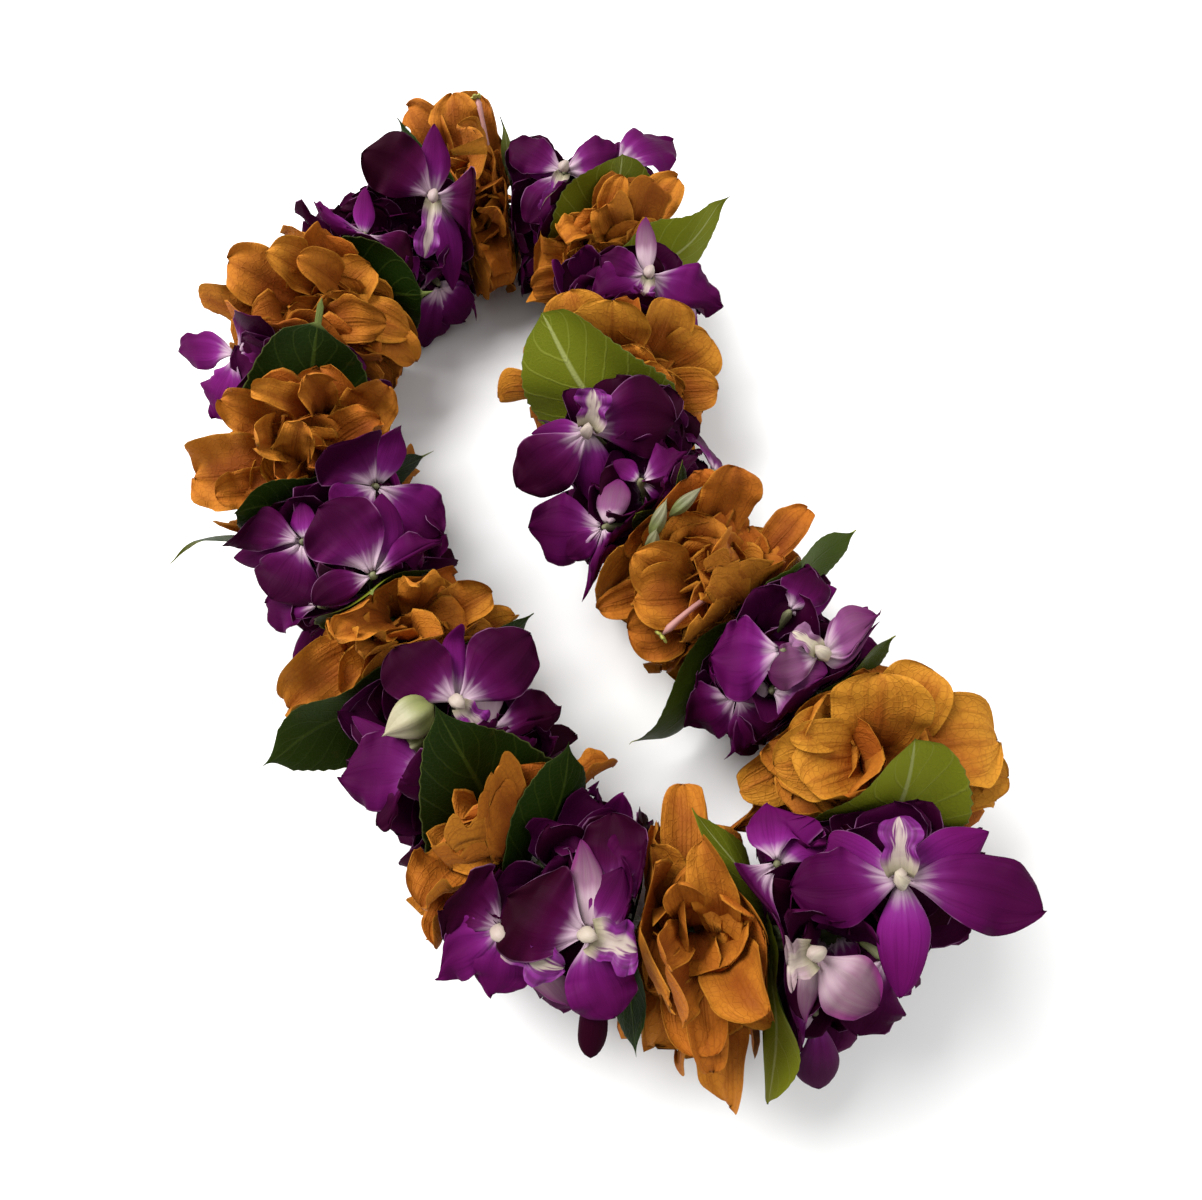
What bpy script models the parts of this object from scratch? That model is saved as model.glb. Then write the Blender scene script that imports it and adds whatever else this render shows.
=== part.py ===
"""A flower lei that lies on a table: orchids and orange bracts strung by turns on one closed thread.

Leaves stand between the clusters, pierced by the thread. +Z is up, +Y runs along the loop's long
axis, and the origin is on the table under the middle of the whole lei. Sizes are in millimetres
and angles in degrees until a mesh is made. A place on the lei is told by three numbers: along the
thread, around it (0 is up, 90 the loop's outer side, -90 its inner side), and out from it.
"""
import math
import random
from collections import namedtuple

import bmesh
import bpy
import numpy as np

MM = 0.001

# The thread and its loop
LOOP_POINTS = [
    (15, 181), (48, 173), (71, 148), (73, 110), (54, 66), (35, 25), (35, -20), (46, -58), (57, -100),
    (62, -138), (49, -167), (22, -178), (-14, -162), (-44, -140), (-65, -104), (-73, -58), (-79, -5),
    (-86, 45), (-82, 95), (-64, 140), (-32, 168),
]
LEI_MIDDLE = (-9.4, 0.8)
THREAD_HEIGHT = 39.0
THREAD_RADIUS = 0.8
THREAD_SIDES = 4
STATION_GAP = 16.0

# The core of green stalks that each cluster grows from
CORE_RADIUS = 6.0
CORE_HOLE = 1.4
CORE_END_GAP = 3.0
ROOT_OUT = 3.2

# Room between neighbours, and how the flowers give way to them
CLUSTER_CLEAR = 3.2
LEAF_SLOT = 1.3
FREE_SHARE = 0.55
FOLD_SHARE = 0.4
INNER_SHARE = 0.68
FLOOR_HEIGHT = 0.1
FLOOR_SOFT = 5.0
FLOOR_SPREAD = 0.35
INNER_LIFT = 0.5
WIDEST_BEND = 150.0
LEAST_STRETCH = 0.35
FOLD_FROM = 20.0
LEAN_START = 8.0
LEAN_FULL = 40.0
LEAN_LIMIT = 1.4
LEAN_SOFT = 0.25

# One orchid, measured from the middle of its throat
COLUMN_LENGTH, COLUMN_RADIUS = 8.0, 3.2
PART_START = 1.5
THROAT_DEPTH = 5.5
CORE_ROUNDING = 3.0
RIPPLES = 7.0
BRACT_KNEE, BRACT_ARCH = 18.0, 0.35
LIGHT = (-43.0, -175.0, 355.0)
STALK_RADIUS = 2.2
BLADE_THICKNESS = 1.3
LEAF_THICKNESS = 1.2

# The blooms on the low sides, placed by rule
HIDDEN_ORCHIDS = (-118, 112)
HIDDEN_BRACTS = ((178, 150, 60), (-100, -112, 42), (106, 118, 42))
LOW_SIDE = 100.0
SMALL_CLUSTER = 15.0

Outline = namedtuple("Outline", "rows root")
PETAL = Outline(((0.26, 0.62), (0.58, 0.94), (0.86, 0.62)), 0.08)
SEPAL = Outline(((0.52, 1.0),), 0.16)
LIP = Outline(((0.60, 1.0),), 0.14)
BRACT = Outline(((0.50, 0.74), (0.84, 0.90)), 0.08)
LEAF = Outline(((0.18, 0.66), (0.40, 1.0), (0.72, 0.68)), 0.08)
ROUND_LEAF = Outline(((0.16, 0.62), (0.52, 1.0), (0.86, 0.82)), 0.08)
ROUND_LEAVES = ("leaf_03", "leaf_05", "leaf_11", "leaf_13", "leaf_23")

# For each part of a bloom: outline, (slope, reflex, depth under the throat), cup and wave
BLOOM_SHAPES = {
    "petal": (PETAL, (0.16, 0.20, 1.5), 0.10, 0.07),
    "sepal": (SEPAL, (0.04, 0.16, 4.2), 0.16, 0.0),
    "lip": (LIP, (0.75, 0.55, 0.5), 0.34, 0.0),
}

Orchid = namedtuple("Orchid", "along around out lean_along lean_around parts")
Part = namedtuple("Part", "kind clock length width")
Bract = namedtuple("Bract", "root_along root_around along around out width")
Tube = namedtuple("Tube", "root_along root_around along around out")
Leaf = namedtuple("Leaf", "name boundary around tip tail width slot")
Cluster = namedtuple("Cluster", "name blooms")


def petal(clock, length, width):
    return Part("petal", clock, length, width)


def sepal(clock, length, width):
    return Part("sepal", clock, length, width)


def lip(clock, length, width):
    return Part("lip", clock, length, width)


# Where each cluster gives way to the next: along the thread, then leans as (around, spread, lean)
BOUNDARIES = [
    (-4, ((55, 36, -14), (-20, 45, 20))),
    (30, ((20, 45, -9), (-95, 38, 15))),
    (76, ((-25, 45, -8), (-98, 38, -26))),
    (108, ((30, 45, -11),)),
    (145, ()),
    (186, ((-45, 52, -26),)),
    (243, ((-75, 40, 10), (32, 30, -9))),
    (294, ((-10, 60, -14), (80, 32, 3), (-100, 35, 16))),
    (334, ((20, 50, -4), (70, 30, 6))),
    (382, ((5, 50, -17), (-50, 25, 8))),
    (444, ((-45, 40, 30), (80, 40, -1))),
    (488, ((-75, 40, 12), (45, 45, -14))),
    (528, ((-15, 50, 22), (-105, 35, -16))),
    (550, ((-5, 55, 24),)),
    (604, ((60, 40, 2), (115, 35, -17))),
    (640, ((0, 50, -17),)),
    (690, ((45, 40, -9), (98, 28, 9), (-90, 35, 14))),
    (738, ((-22, 45, 22), (62, 35, 8))),
    (762, ((-22, 45, 8), (62, 35, 16))),
    (815, ((-55, 45, 14),)),
]

CLUSTERS = [
    Cluster("bracts_1", (
        Bract(-10, 30, -15, 38, 50, 25), Bract(-5, 26, -3, 30, 50, 26), Bract(3, 32, 8, 36, 47, 34),
        Bract(8, 5, -10, -2, 43, 28), Bract(4, -70, 13, -55, 42, 20), Bract(0, -85, -6, -108, 42, 20),
        Bract(8, -88, 20, -94, 44, 24),
        Tube(2, 30, 5, 35, 52),
    )),
    Cluster("orchids_1", (
        Orchid(8, -10, 33, 15, -15, (petal(40, 28, 32), petal(180, 28, 22), sepal(80, 23, 11), sepal(-165, 22, 12),
                                     petal(-95, 30, 24), lip(-80, 23, 18))),
        Orchid(16, 40, 33, 16, -20, (petal(95, 50, 34), petal(45, 24, 24), sepal(130, 26, 9))),
    )),
    Cluster("bracts_2", (
        Bract(-4, -20, 10, -45, 34, 22), Bract(-2, -10, -2, 8, 43, 16), Bract(4, 30, 7, 24, 43, 22),
        Bract(-6, 58, -7, 54, 45, 20), Bract(3, -75, -26, -95, 42, 34), Bract(6, -95, 10, -88, 42, 18),
        Bract(4, 5, 8, -6, 40, 20),
    )),
    Cluster("orchids_2", (
        Orchid(9, 15, 35, 32, -11, (sepal(-175, 25, 10), petal(-110, 21, 18), petal(70, 34, 36), petal(-60, 24, 28),
                                    lip(-10, 18, 16))),
        Orchid(-3, 80, 32, 5, -5, (petal(60, 32, 28), petal(-40, 30, 24), sepal(160, 28, 12))),
    )),
    Cluster("bracts_3", (
        Bract(-8, -50, -18, -30, 42, 28), Bract(-5, -80, -10, -70, 42, 26), Bract(-4, -15, -8, -6, 42, 32),
        Bract(-6, 50, -14, 28, 42, 24), Bract(-4, 80, -8, 60, 43, 26), Bract(4, 88, 9, 76, 42, 20),
        Bract(8, -84, 14, -92, 50, 24),
    )),
    Cluster("orchids_3", (
        Orchid(-6, -29, 36, 33, 18, (sepal(-15, 28, 18), petal(-70, 35, 30), petal(80, 34, 38), lip(150, 16, 26),
                                     sepal(-105, 22, 10))),
        Orchid(24, -53, 32, 15, 21, (petal(-130, 32, 34), sepal(-45, 33, 11), petal(-25, 28, 22),
                                     petal(-95, 19, 16), sepal(130, 19, 16))),
        Orchid(18, -12, 30, 14, -3, (petal(80, 20, 30), sepal(35, 18, 11), sepal(-160, 14, 9))),
        Orchid(20, 62, 32, 2, -5, (petal(60, 30, 28), petal(150, 28, 26), sepal(10, 28, 14))),
    )),
    Cluster("bracts_4", (
        Bract(-9, 45, -17, 32, 45, 24), Bract(8, 50, 8, -12, 42, 24), Bract(14, 55, 16, -18, 38, 22),
        Bract(11, 62, 10, 60, 47, 16), Bract(2, -45, -12, -36, 42, 24), Bract(8, -40, -2, -56, 42, 26),
        Bract(10, -85, 2, -76, 42, 26), Bract(-9, -98, -13, -84, 42, 16), Tube(12, -20, 13, -62, 40),
    )),
    Cluster("orchids_4", (
        Orchid(11, -2, 35, 5, -13, (petal(75, 24, 32), sepal(45, 26, 13), sepal(100, 24, 14), petal(-115, 18, 20),
                                    lip(-165, 12, 16))),
        Orchid(2, -17, 35, 8, -4, (petal(-130, 24, 36),)),
        Orchid(9, -40, 30, 5, 8, (sepal(-140, 18, 12), petal(20, 16, 18), petal(55, 20, 26))),
        Orchid(1, -66, 29, 4, 18, (petal(-110, 26, 30), petal(-10, 24, 30), sepal(-55, 30, 10))),
        Orchid(-9, 9, 28, 4, -10, (petal(115, 20, 24), sepal(80, 22, 13))),
    )),
    Cluster("bracts_5", (
        Bract(0, 11, -15, 12, 44, 34), Bract(-4, 50, -9, 40, 44, 26), Bract(3, 24, 9, 60, 46, 36),
        Bract(12, 66, 15, 68, 45, 24), Bract(-12, -8, -17, -40, 42, 16), Bract(0, -2, -12, -54, 42, 28),
        Bract(3, -16, 12, -48, 38, 32), Bract(-10, -98, -14, -93, 42, 22), Bract(15, 88, 18, 90, 42, 20),
    )),
    Cluster("orchids_5", (
        Orchid(-8, 1, 38, 16, -10, (petal(-50, 33, 30), petal(110, 39, 28), sepal(30, 34, 17), sepal(-85, 31, 16),
                                    sepal(150, 30, 16), lip(-150, 18, 24))),
        Orchid(23, 12, 34, 10, -8, (petal(135, 22, 24), lip(5, 18, 26), sepal(65, 20, 10))),
        Orchid(30, -38, 33, 7, 28, (petal(38, 34, 28), petal(-84, 20, 20), sepal(-136, 20, 15))),
        Orchid(6, 29, 30, 5, -10, (petal(45, 24, 28), sepal(100, 16, 14))),
        Orchid(22, 60, 28, 5, -21, (sepal(93, 34, 17), petal(20, 24, 24))),
        Orchid(-14, -60, 28, 5, 15, (sepal(-110, 32, 14), petal(-80, 36, 22))),
    )),
    Cluster("bracts_6", (
        Bract(7, -55, 14, -76, 46, 22), Bract(-6, 0, 4, -33, 42, 20), Bract(6, -12, 12, -12, 40, 16),
        Bract(5, 8, 15, 20, 42, 16), Bract(1, 34, 12, 36, 45, 22), Bract(0, 70, -2, 56, 44, 26),
        Bract(2, 14, -5, 62, 45, 16), Bract(-7, 20, -14, 34, 45, 28), Bract(-9, 85, -12, 88, 49, 22),
    )),
    Cluster("orchids_6", (
        Orchid(10, 45, 34, -5, -26, (petal(5, 28, 34), petal(55, 26, 26), petal(115, 20, 26), lip(-175, 22, 22),
                                     sepal(165, 31, 15))),
        Orchid(-10, 21, 36, -2, -15, (petal(-5, 26, 38), sepal(-60, 28, 12), lip(-170, 16, 28),
                                      petal(130, 24, 26), sepal(-95, 22, 18), sepal(115, 34, 10))),
        Orchid(-11, 0, 28, 0, 0, (petal(-120, 24, 34), petal(-70, 26, 30))),
        Orchid(-14, 85, 27, 0, -20, (sepal(110, 28, 12), petal(60, 26, 24))),
    )),
    Cluster("bracts_7", (
        Bract(-3, 15, -2, 32, 39, 24), Bract(0, 40, -2, -2, 38, 14), Bract(-4, -15, -14, -10, 34, 20),
        Bract(-8, -6, -9, 24, 40, 22), Bract(3, 70, -2, 54, 44, 24), Bract(-5, 88, -9, 72, 43, 20),
        Bract(-6, -80, -16, -84, 42, 20),
    )),
    Cluster("orchids_7", (
        Orchid(1, -14, 35, -18, 13, (petal(20, 29, 29), petal(-75, 34, 31), sepal(-20, 34, 9), lip(-165, 12, 18))),
        Orchid(-10, -28, 30, -14, 19, (petal(-112, 26, 32), sepal(-35, 23, 11))),
        Orchid(-15, 17, 32, -9, -9, (petal(52, 31, 32), sepal(22, 36, 10), petal(100, 24, 22))),
        Orchid(-5, 2, 36, -17, -2, (lip(55, 15, 18),)),
    )),
    Cluster("bracts_8", (
        Bract(5, -10, -3, 24, 42, 24), Bract(-4, 11, -12, 20, 37, 20), Bract(0, 40, -8, 72, 46, 28),
        Bract(6, -55, 0, -22, 42, 18), Bract(0, -75, -7, -62, 43, 20), Bract(-9, -85, -12, -86, 43, 18),
    )),
    Cluster("orchids_8", (
        Orchid(-31, -5, 36, -26, 4, (petal(10, 30, 36), sepal(-30, 30, 18), petal(-100, 26, 34), petal(95, 22, 18))),
        Orchid(6, -33, 36, -32, 30, (petal(25, 28, 36), sepal(-40, 27, 18), petal(-150, 30, 28),
                                     petal(115, 18, 26))),
        Orchid(0, 27, 31, -14, -11, (petal(40, 32, 24), sepal(65, 30, 13), sepal(-25, 16, 11), petal(120, 24, 34))),
        Orchid(-22, 47, 27, -9, -13, (petal(50, 26, 26),)),
    )),
    Cluster("bracts_9", (
        Bract(-7, 42, 0, 74, 46, 34), Bract(8, 20, 11, 34, 44, 20), Bract(2, 21, -12, 22, 39, 22),
        Bract(-9, 28, -11, -5, 43, 16), Bract(13, -26, 9, 14, 44, 16), Bract(14, -40, 11, -14, 43, 18),
        Bract(12, -72, 15, -62, 43, 24), Bract(-7, 80, -14, 62, 42, 18), Bract(-4, -30, -8, -48, 42, 22),
    )),
    Cluster("orchids_9", (
        Orchid(12, 60, 31, -26, -34, (petal(70, 34, 22), petal(135, 30, 28), petal(-95, 16, 18), sepal(155, 30, 10),
                                      petal(-60, 28, 24))),
    )),
    Cluster("bracts_10", (
        Bract(11, -12, 1, 15, 43, 22), Bract(0, 12, -1, 38, 46, 26), Bract(-6, 58, -12, 60, 47, 22),
        Bract(14, -48, 0, -4, 43, 18), Bract(4, -25, 3, -86, 42, 20), Bract(4, -60, -14, -98, 44, 22),
        Bract(14, -74, 9, -100, 42, 20), Bract(-8, -30, -14, -62, 42, 22),
    )),
    Cluster("orchids_10", (
        Orchid(19, -30, 36, -14, -15, (sepal(60, 30, 15), petal(120, 34, 34), petal(-25, 33, 34),
                                       sepal(-105, 40, 15), lip(-125, 26, 20))),
        Orchid(-25, -25, 34, -20, -11, (petal(-75, 24, 32), petal(140, 26, 28), sepal(35, 22, 10))),
        Orchid(5, -100, 30, -13, 30, (sepal(-50, 34, 12), petal(-80, 24, 26), petal(-125, 32, 28))),
    )),
]

LEAVES = [
    Leaf("leaf_01", 0, 37, 47, 34, 36, 0), Leaf("leaf_02", 1, 30, 39, 26, 30, 0),
    Leaf("leaf_03", 2, 28, 39, 24, 58, 0), Leaf("leaf_04", 3, 60, 60, 18, 40, 1),
    Leaf("leaf_05", 5, -46, 47, 26, 64, 0), Leaf("leaf_06", 6, -26, 40, 6, 15, -1),
    Leaf("leaf_07", 6, 12, 40, 6, 15, 1), Leaf("leaf_08", 7, 68, 54, 6, 36, 1),
    Leaf("leaf_09", 7, -102, 64, 6, 44, -1), Leaf("leaf_10", 8, 46, 39, 22, 34, 0),
    Leaf("leaf_11", 9, 6, 44, 30, 53, 0), Leaf("leaf_12", 10, -50, 44, 8, 34, 1),
    Leaf("leaf_13", 10, 86, 48, 8, 38, -1), Leaf("leaf_14", 11, 62, 45, 20, 26, 0),
    Leaf("leaf_15", 12, -45, 45, 24, 44, 0), Leaf("leaf_16", 13, -2, 50, 28, 54, -0.7),
    Leaf("leaf_17", 14, 78, 60, 12, 44, 1), Leaf("leaf_18", 14, -82, 50, 8, 32, -1),
    Leaf("leaf_19", 15, 0, 42, 26, 48, 0), Leaf("leaf_20", 16, 84, 64, 6, 24, -1.5),
    Leaf("leaf_21", 16, 38, 49, 3, 40, 0), Leaf("leaf_22", 16, -92, 48, 3, 26, 1.5),
    Leaf("leaf_23", 17, -22, 48, 28, 52, 0), Leaf("leaf_24", 19, -76, 52, 30, 56, 0),
    Leaf("leaf_25", 4, -150, 34, 26, 34, 0),
]


class Loop:
    """The thread's closed line in plan, evenly sampled, with its direction, outer side and bend."""

    SAMPLES = 900
    STEPS = 48
    SMOOTHING = 600

    def __init__(self, points):
        corners = np.array(points, float) - LEI_MIDDLE
        step = np.linspace(0, 1, self.STEPS, endpoint=False)[:, None]
        spans = []
        for a, b, c, d in zip(np.roll(corners, 1, 0), corners, np.roll(corners, -1, 0), np.roll(corners, -2, 0)):
            spans.append(0.5 * (2 * b + (c - a) * step + (2 * a - 5 * b + 4 * c - d) * step**2
                                + (3 * b - a - 3 * c + d) * step**3))
        line = np.concatenate(spans)
        for _ in range(self.SMOOTHING):
            line = 0.5 * line + 0.25 * (np.roll(line, 1, 0) + np.roll(line, -1, 0))
        run = np.concatenate([[0], np.cumsum(np.linalg.norm(np.roll(line, -1, 0) - line, axis=1))])
        closed = np.vstack([line, line[:1]])
        self.length = run[-1]
        self.gap = self.length / self.SAMPLES
        even = np.arange(self.SAMPLES) * self.gap
        self.point = np.stack([np.interp(even, run, closed[:, axis]) for axis in (0, 1)], 1)
        ahead = np.roll(self.point, -1, 0) - np.roll(self.point, 1, 0)
        self.ahead = ahead / np.linalg.norm(ahead, axis=1)[:, None]
        self.outer = np.stack([-self.ahead[:, 1], self.ahead[:, 0]], 1)
        turn = np.roll(self.ahead, -1, 0) - np.roll(self.ahead, 1, 0)
        bend = -(self.ahead[:, 0] * turn[:, 1] - self.ahead[:, 1] * turn[:, 0]) / (2 * self.gap)
        near = range(-6, 7)
        self.bend = sum(np.roll(bend, shift) for shift in near) / len(near)

    def read(self, values, along):
        """Values along the thread, read between samples."""
        place = np.asarray(along, float) / self.gap % self.SAMPLES
        low = np.floor(place).astype(int) % self.SAMPLES
        part = place - np.floor(place)
        if values.ndim == 2:
            part = part[..., None]
        return values[low] * (1 - part) + values[(low + 1) % self.SAMPLES] * part

    def place(self, along, side, rise):
        """Points from thread coordinates: along it, to its outer side and above it."""
        plan = self.read(self.point, along) + self.read(self.outer, along) * np.asarray(side)[..., None]
        return np.concatenate([plan, (THREAD_HEIGHT + np.asarray(rise))[..., None]], -1)

    def locate(self, points, near, window=75.0):
        """Thread coordinates of points that lie within a window along the thread."""
        samples = np.arange(int((near - window) / self.gap), int((near + window) / self.gap))
        wrapped = samples % self.SAMPLES
        away = points[:, None, :2] - self.point[wrapped][None]
        best = (away**2).sum(2).argmin(1)
        index = wrapped[best]
        offset = points[:, :2] - self.point[index]
        side = (offset * self.outer[index]).sum(1)
        stretch = np.maximum(1 + side * self.bend[index], LEAST_STRETCH)
        along = samples[best] * self.gap + (offset * self.ahead[index]).sum(1) / stretch
        return along, side, points[:, 2] - THREAD_HEIGHT

    def axes(self, along, around):
        """Unit vectors at a place on the thread: ahead, out from it, and around it."""
        ahead = np.append(self.read(self.ahead, along), 0.0)
        outer = np.append(self.read(self.outer, along), 0.0)
        up = np.array([0.0, 0.0, 1.0])
        turn = math.radians(around)
        return ahead, outer * math.sin(turn) + up * math.cos(turn), outer * math.cos(turn) - up * math.sin(turn)

    def spot(self, along, around, out):
        """One point from a place along, around and out from the thread."""
        turn = math.radians(around)
        return self.place(np.array(along), np.array(out * math.sin(turn)), np.array(out * math.cos(turn)))


LOOP = Loop(LOOP_POINTS)


def unit(vector):
    return vector / np.linalg.norm(vector)


def boundary_along(index, out, around):
    """How far along the thread the surface between two clusters lies, at places around and out."""
    laps, number = divmod(index, len(BOUNDARIES))
    base, leans = BOUNDARIES[number]
    lean = sum(amount * np.exp(-(((around - middle + 180) % 360 - 180) / spread) ** 2)
               for middle, spread, amount in leans)
    share = np.clip((out - LEAN_START) / (LEAN_FULL - LEAN_START), 0, LEAN_LIMIT)
    return base + laps * LOOP.length + lean * share * share / (share + LEAN_SOFT)


def off_inside(along, side, rise):
    """Moves points off the tight inside of a bend, and lifts them by part of that."""
    bend = np.maximum(LOOP.read(LOOP.bend, along), 1 / WIDEST_BEND)
    limit = INNER_SHARE / bend
    reach = np.maximum(-side, 0) / limit
    eased = np.where(reach > 0.5, 0.5 + 0.5 * np.tanh((reach - 0.5) / 0.5), reach)
    moved = (reach - eased) * limit
    return np.where(side < 0, -eased * limit, side), rise + np.where(rise < 0, -1, 1) * INNER_LIFT * moved


def off_floor(side, rise):
    """Lets low points settle on the table, spread outwards by part of what they give up."""
    height = rise + THREAD_HEIGHT - FLOOR_HEIGHT
    eased = np.where(height < FLOOR_SOFT, FLOOR_SOFT * np.exp((height - FLOOR_SOFT) / FLOOR_SOFT), height)
    spread = FLOOR_SPREAD * (eased - height)
    return side + np.where(side < 0, -spread, spread), eased - THREAD_HEIGHT + FLOOR_HEIGHT


def between(along, low, high):
    """Eases places along the thread into the room between two limits."""
    middle, half = (low + high) / 2, (high - low) / 2
    reach = np.abs(along - middle) / half
    eased = FREE_SHARE + (1 - FREE_SHARE) * np.tanh((reach - FREE_SHARE) / (1 - FREE_SHARE))
    return middle + np.sign(along - middle) * half * np.where(reach > FREE_SHARE, eased, reach)


def settle(points, number):
    """Bends a cluster's petals clear of its neighbours, of the table and of the loop's inside."""
    middle = (boundary_along(number, 0.0, 0.0) + boundary_along(number + 1, 0.0, 0.0)) / 2
    along, side, rise = LOOP.locate(points, middle)
    side, rise = off_inside(along, side, rise)
    side, rise = off_floor(side, rise)
    for fold in (FOLD_SHARE, 0.0):
        out, around = np.hypot(side, rise), np.degrees(np.arctan2(side, rise))
        stretch = np.maximum(1 + side * LOOP.read(LOOP.bend, along), LEAST_STRETCH)
        low = boundary_along(number, out, around) + CLUSTER_CLEAR / stretch
        high = boundary_along(number + 1, out, around) - CLUSTER_CLEAR / stretch
        eased = between(along, low, high)
        grow = 1 + fold * np.abs(along - eased) * stretch / np.maximum(out, FOLD_FROM)
        side, rise = side * grow, np.maximum(rise * grow, FLOOR_HEIGHT - THREAD_HEIGHT)
    return LOOP.place(eased, side, rise)


def blade_grid(outline):
    """The flat plan of a blade: places along and across it, its triangles and its rim."""
    spots = [(0.0, -outline.root, -1.0), (0.0, outline.root, 1.0)]
    for along, width in outline.rows:
        spots += [(along, -width, -1.0), (along, 0.0, 0.0), (along, width, 1.0)]
    spots.append((1.0, 0.0, 0.0))
    faces = [(0, 1, 3), (0, 3, 2), (1, 4, 3)]
    rows = len(outline.rows)
    for row in range(rows - 1):
        left, right = 2 + 3 * row, 5 + 3 * row
        for step in range(2):
            a, b, c, d = left + step, left + step + 1, right + step, right + step + 1
            faces += [(a, b, d), (a, d, c)]
    last, tip = 2 + 3 * (rows - 1), len(spots) - 1
    faces += [(last, last + 1, tip), (last + 1, last + 2, tip)]
    rim = {0, 1, tip} | {2 + 3 * row + side for row in range(rows) for side in (0, 2)}
    return spots, faces, rim


def thicken(points, faces, rim, thickness):
    """A closed blade that is thick in its middle and comes to an edge at its rim."""
    normals = np.zeros_like(points)
    for face in faces:
        a, b, c = points[list(face)]
        normals[list(face)] += np.cross(b - a, c - a)
    normals /= np.maximum(np.linalg.norm(normals, axis=1), 1e-9)[:, None]
    inner = [index for index in range(len(points)) if index not in rim]
    top = points.copy()
    top[inner] += normals[inner] * thickness / 2
    under = points[inner] - normals[inner] * thickness / 2
    twin = {index: len(points) + order for order, index in enumerate(inner)}
    back = [tuple(twin.get(index, index) for index in reversed(face)) for face in faces]
    return np.vstack([top, under]), list(faces) + back


def blade(number, outline, spine, width, across, cup=0.0, wave=0.0, thickness=BLADE_THICKNESS):
    """A petal, sepal or bract: its outline laid along a spine, cupped, and settled in its cluster."""
    spots, faces, rim = blade_grid(outline)
    points = []
    for along, half, edge in spots:
        here, ahead = spine(along), unit(spine(along + 0.01) - spine(along - 0.01))
        sideways = unit(across - ahead * np.dot(across, ahead))
        up = np.cross(sideways, ahead)
        ripple = wave * edge * math.sin(RIPPLES * along + 2 * edge)
        lift = cup * abs(half) * width / 2 + ripple * width / 2
        points.append(here + sideways * half * width / 2 + up * lift)
    return thicken(settle(np.array(points), number), faces, rim, thickness)


def tube(number, path, radii, sides):
    """A solid stalk along a path, with a point at each end."""
    path = settle(np.array(path), number)
    ahead = unit(path[-1] - path[0])
    side = unit(np.cross(ahead, [0.3, 0.5, 0.8]))
    up = np.cross(side, ahead)
    turns = [2 * math.pi * step / sides for step in range(sides)]
    rings = [[centre + radius * (side * math.cos(turn) + up * math.sin(turn)) for turn in turns]
             for centre, radius in zip(path[1:-1], radii)]
    points = [path[0]] + [point for ring in rings for point in ring] + [path[-1]]
    end, faces = len(points) - 1, []
    for step in range(sides):
        after = (step + 1) % sides
        faces.append((0, 1 + after, 1 + step))
        for ring in range(len(rings) - 1):
            a, b = 1 + ring * sides + step, 1 + ring * sides + after
            faces += [(a, b, b + sides), (a, b + sides, a + sides)]
        base = end - sides
        faces.append((base + step, base + after, end))
    return np.array(points), faces


def orchid(number, middle, bloom):
    """One dendrobium orchid: petals, sepals and a lip round a column that stands on its stalk."""
    ahead, outward, around = LOOP.axes(middle + bloom.along, bloom.around)
    lean_a, lean_r = math.radians(bloom.lean_along), math.radians(bloom.lean_around)
    facing = unit((outward * math.cos(lean_r) + around * math.sin(lean_r)) * math.cos(lean_a)
                  + ahead * math.sin(lean_a))
    first = unit(ahead - facing * np.dot(ahead, facing))
    second = np.cross(facing, first)
    throat = LOOP.spot(middle + bloom.along, bloom.around, bloom.out)

    def direction(clock):
        turn = math.radians(clock)
        return first * math.cos(turn) + second * math.sin(turn)

    def spine(part, open_slope, reflex, back):
        way = direction(part.clock)
        return lambda u: (throat + way * (PART_START + (part.length - PART_START) * u)
                          + facing * (part.length * (open_slope * u - reflex * u * u) - back))

    solids = []
    for part in bloom.parts:
        outline, shape, cup, wave = BLOOM_SHAPES[part.kind]
        solids.append(blade(number, outline, spine(part, *shape), part.width, direction(part.clock + 90),
                            cup=cup, wave=wave))
    near_core = min(max(bloom.along, -half_room(number)), half_room(number))
    root = LOOP.spot(middle + near_core, bloom.around, ROOT_OUT)
    neck = LOOP.spot(middle + near_core, bloom.around, ROOT_OUT + 1.5)
    solids.append(tube(number, [root, neck, throat - facing * THROAT_DEPTH, throat + facing * COLUMN_RADIUS,
                                throat + facing * COLUMN_LENGTH],
                       [STALK_RADIUS, COLUMN_RADIUS + 1.2, COLUMN_RADIUS], 3))
    return solids


def half_room(number):
    """Half the length of a cluster's core, less its rounding."""
    return (boundary_along(number + 1, 0.0, 0.0) - boundary_along(number, 0.0, 0.0)) / 2 - CORE_END_GAP - CORE_ROUNDING


def bract(number, middle, bloom):
    """One papery bract: a narrow foot on the core, then a broad blade that turns its face to the light."""
    near_core = min(max(bloom.root_along, -half_room(number)), half_room(number))
    start = LOOP.spot(middle + near_core, bloom.root_around, ROOT_OUT)
    knee = LOOP.spot(middle + bloom.root_along, bloom.root_around, BRACT_KNEE)
    end = LOOP.spot(middle + bloom.along, bloom.around, bloom.out)
    _, outward, around = LOOP.axes(middle + bloom.along, bloom.around)
    lit = 0.0 if abs(bloom.around) > LOW_SIDE else 2.0
    facing = unit(unit(np.array(LIGHT) - end) * lit + outward)
    over = (knee + end) / 2 + facing * BRACT_ARCH * np.linalg.norm(end - knee)

    def spine(u):
        return (start * (1 - u) ** 3 + knee * 3 * u * (1 - u) ** 2 + over * 3 * u * u * (1 - u) + end * u**3)

    across = np.cross(unit(end - knee), facing)
    if np.linalg.norm(across) < 0.15:
        across = around
    return [blade(number, BRACT, spine, bloom.width, unit(across), cup=0.12, wave=0.10)]


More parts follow.
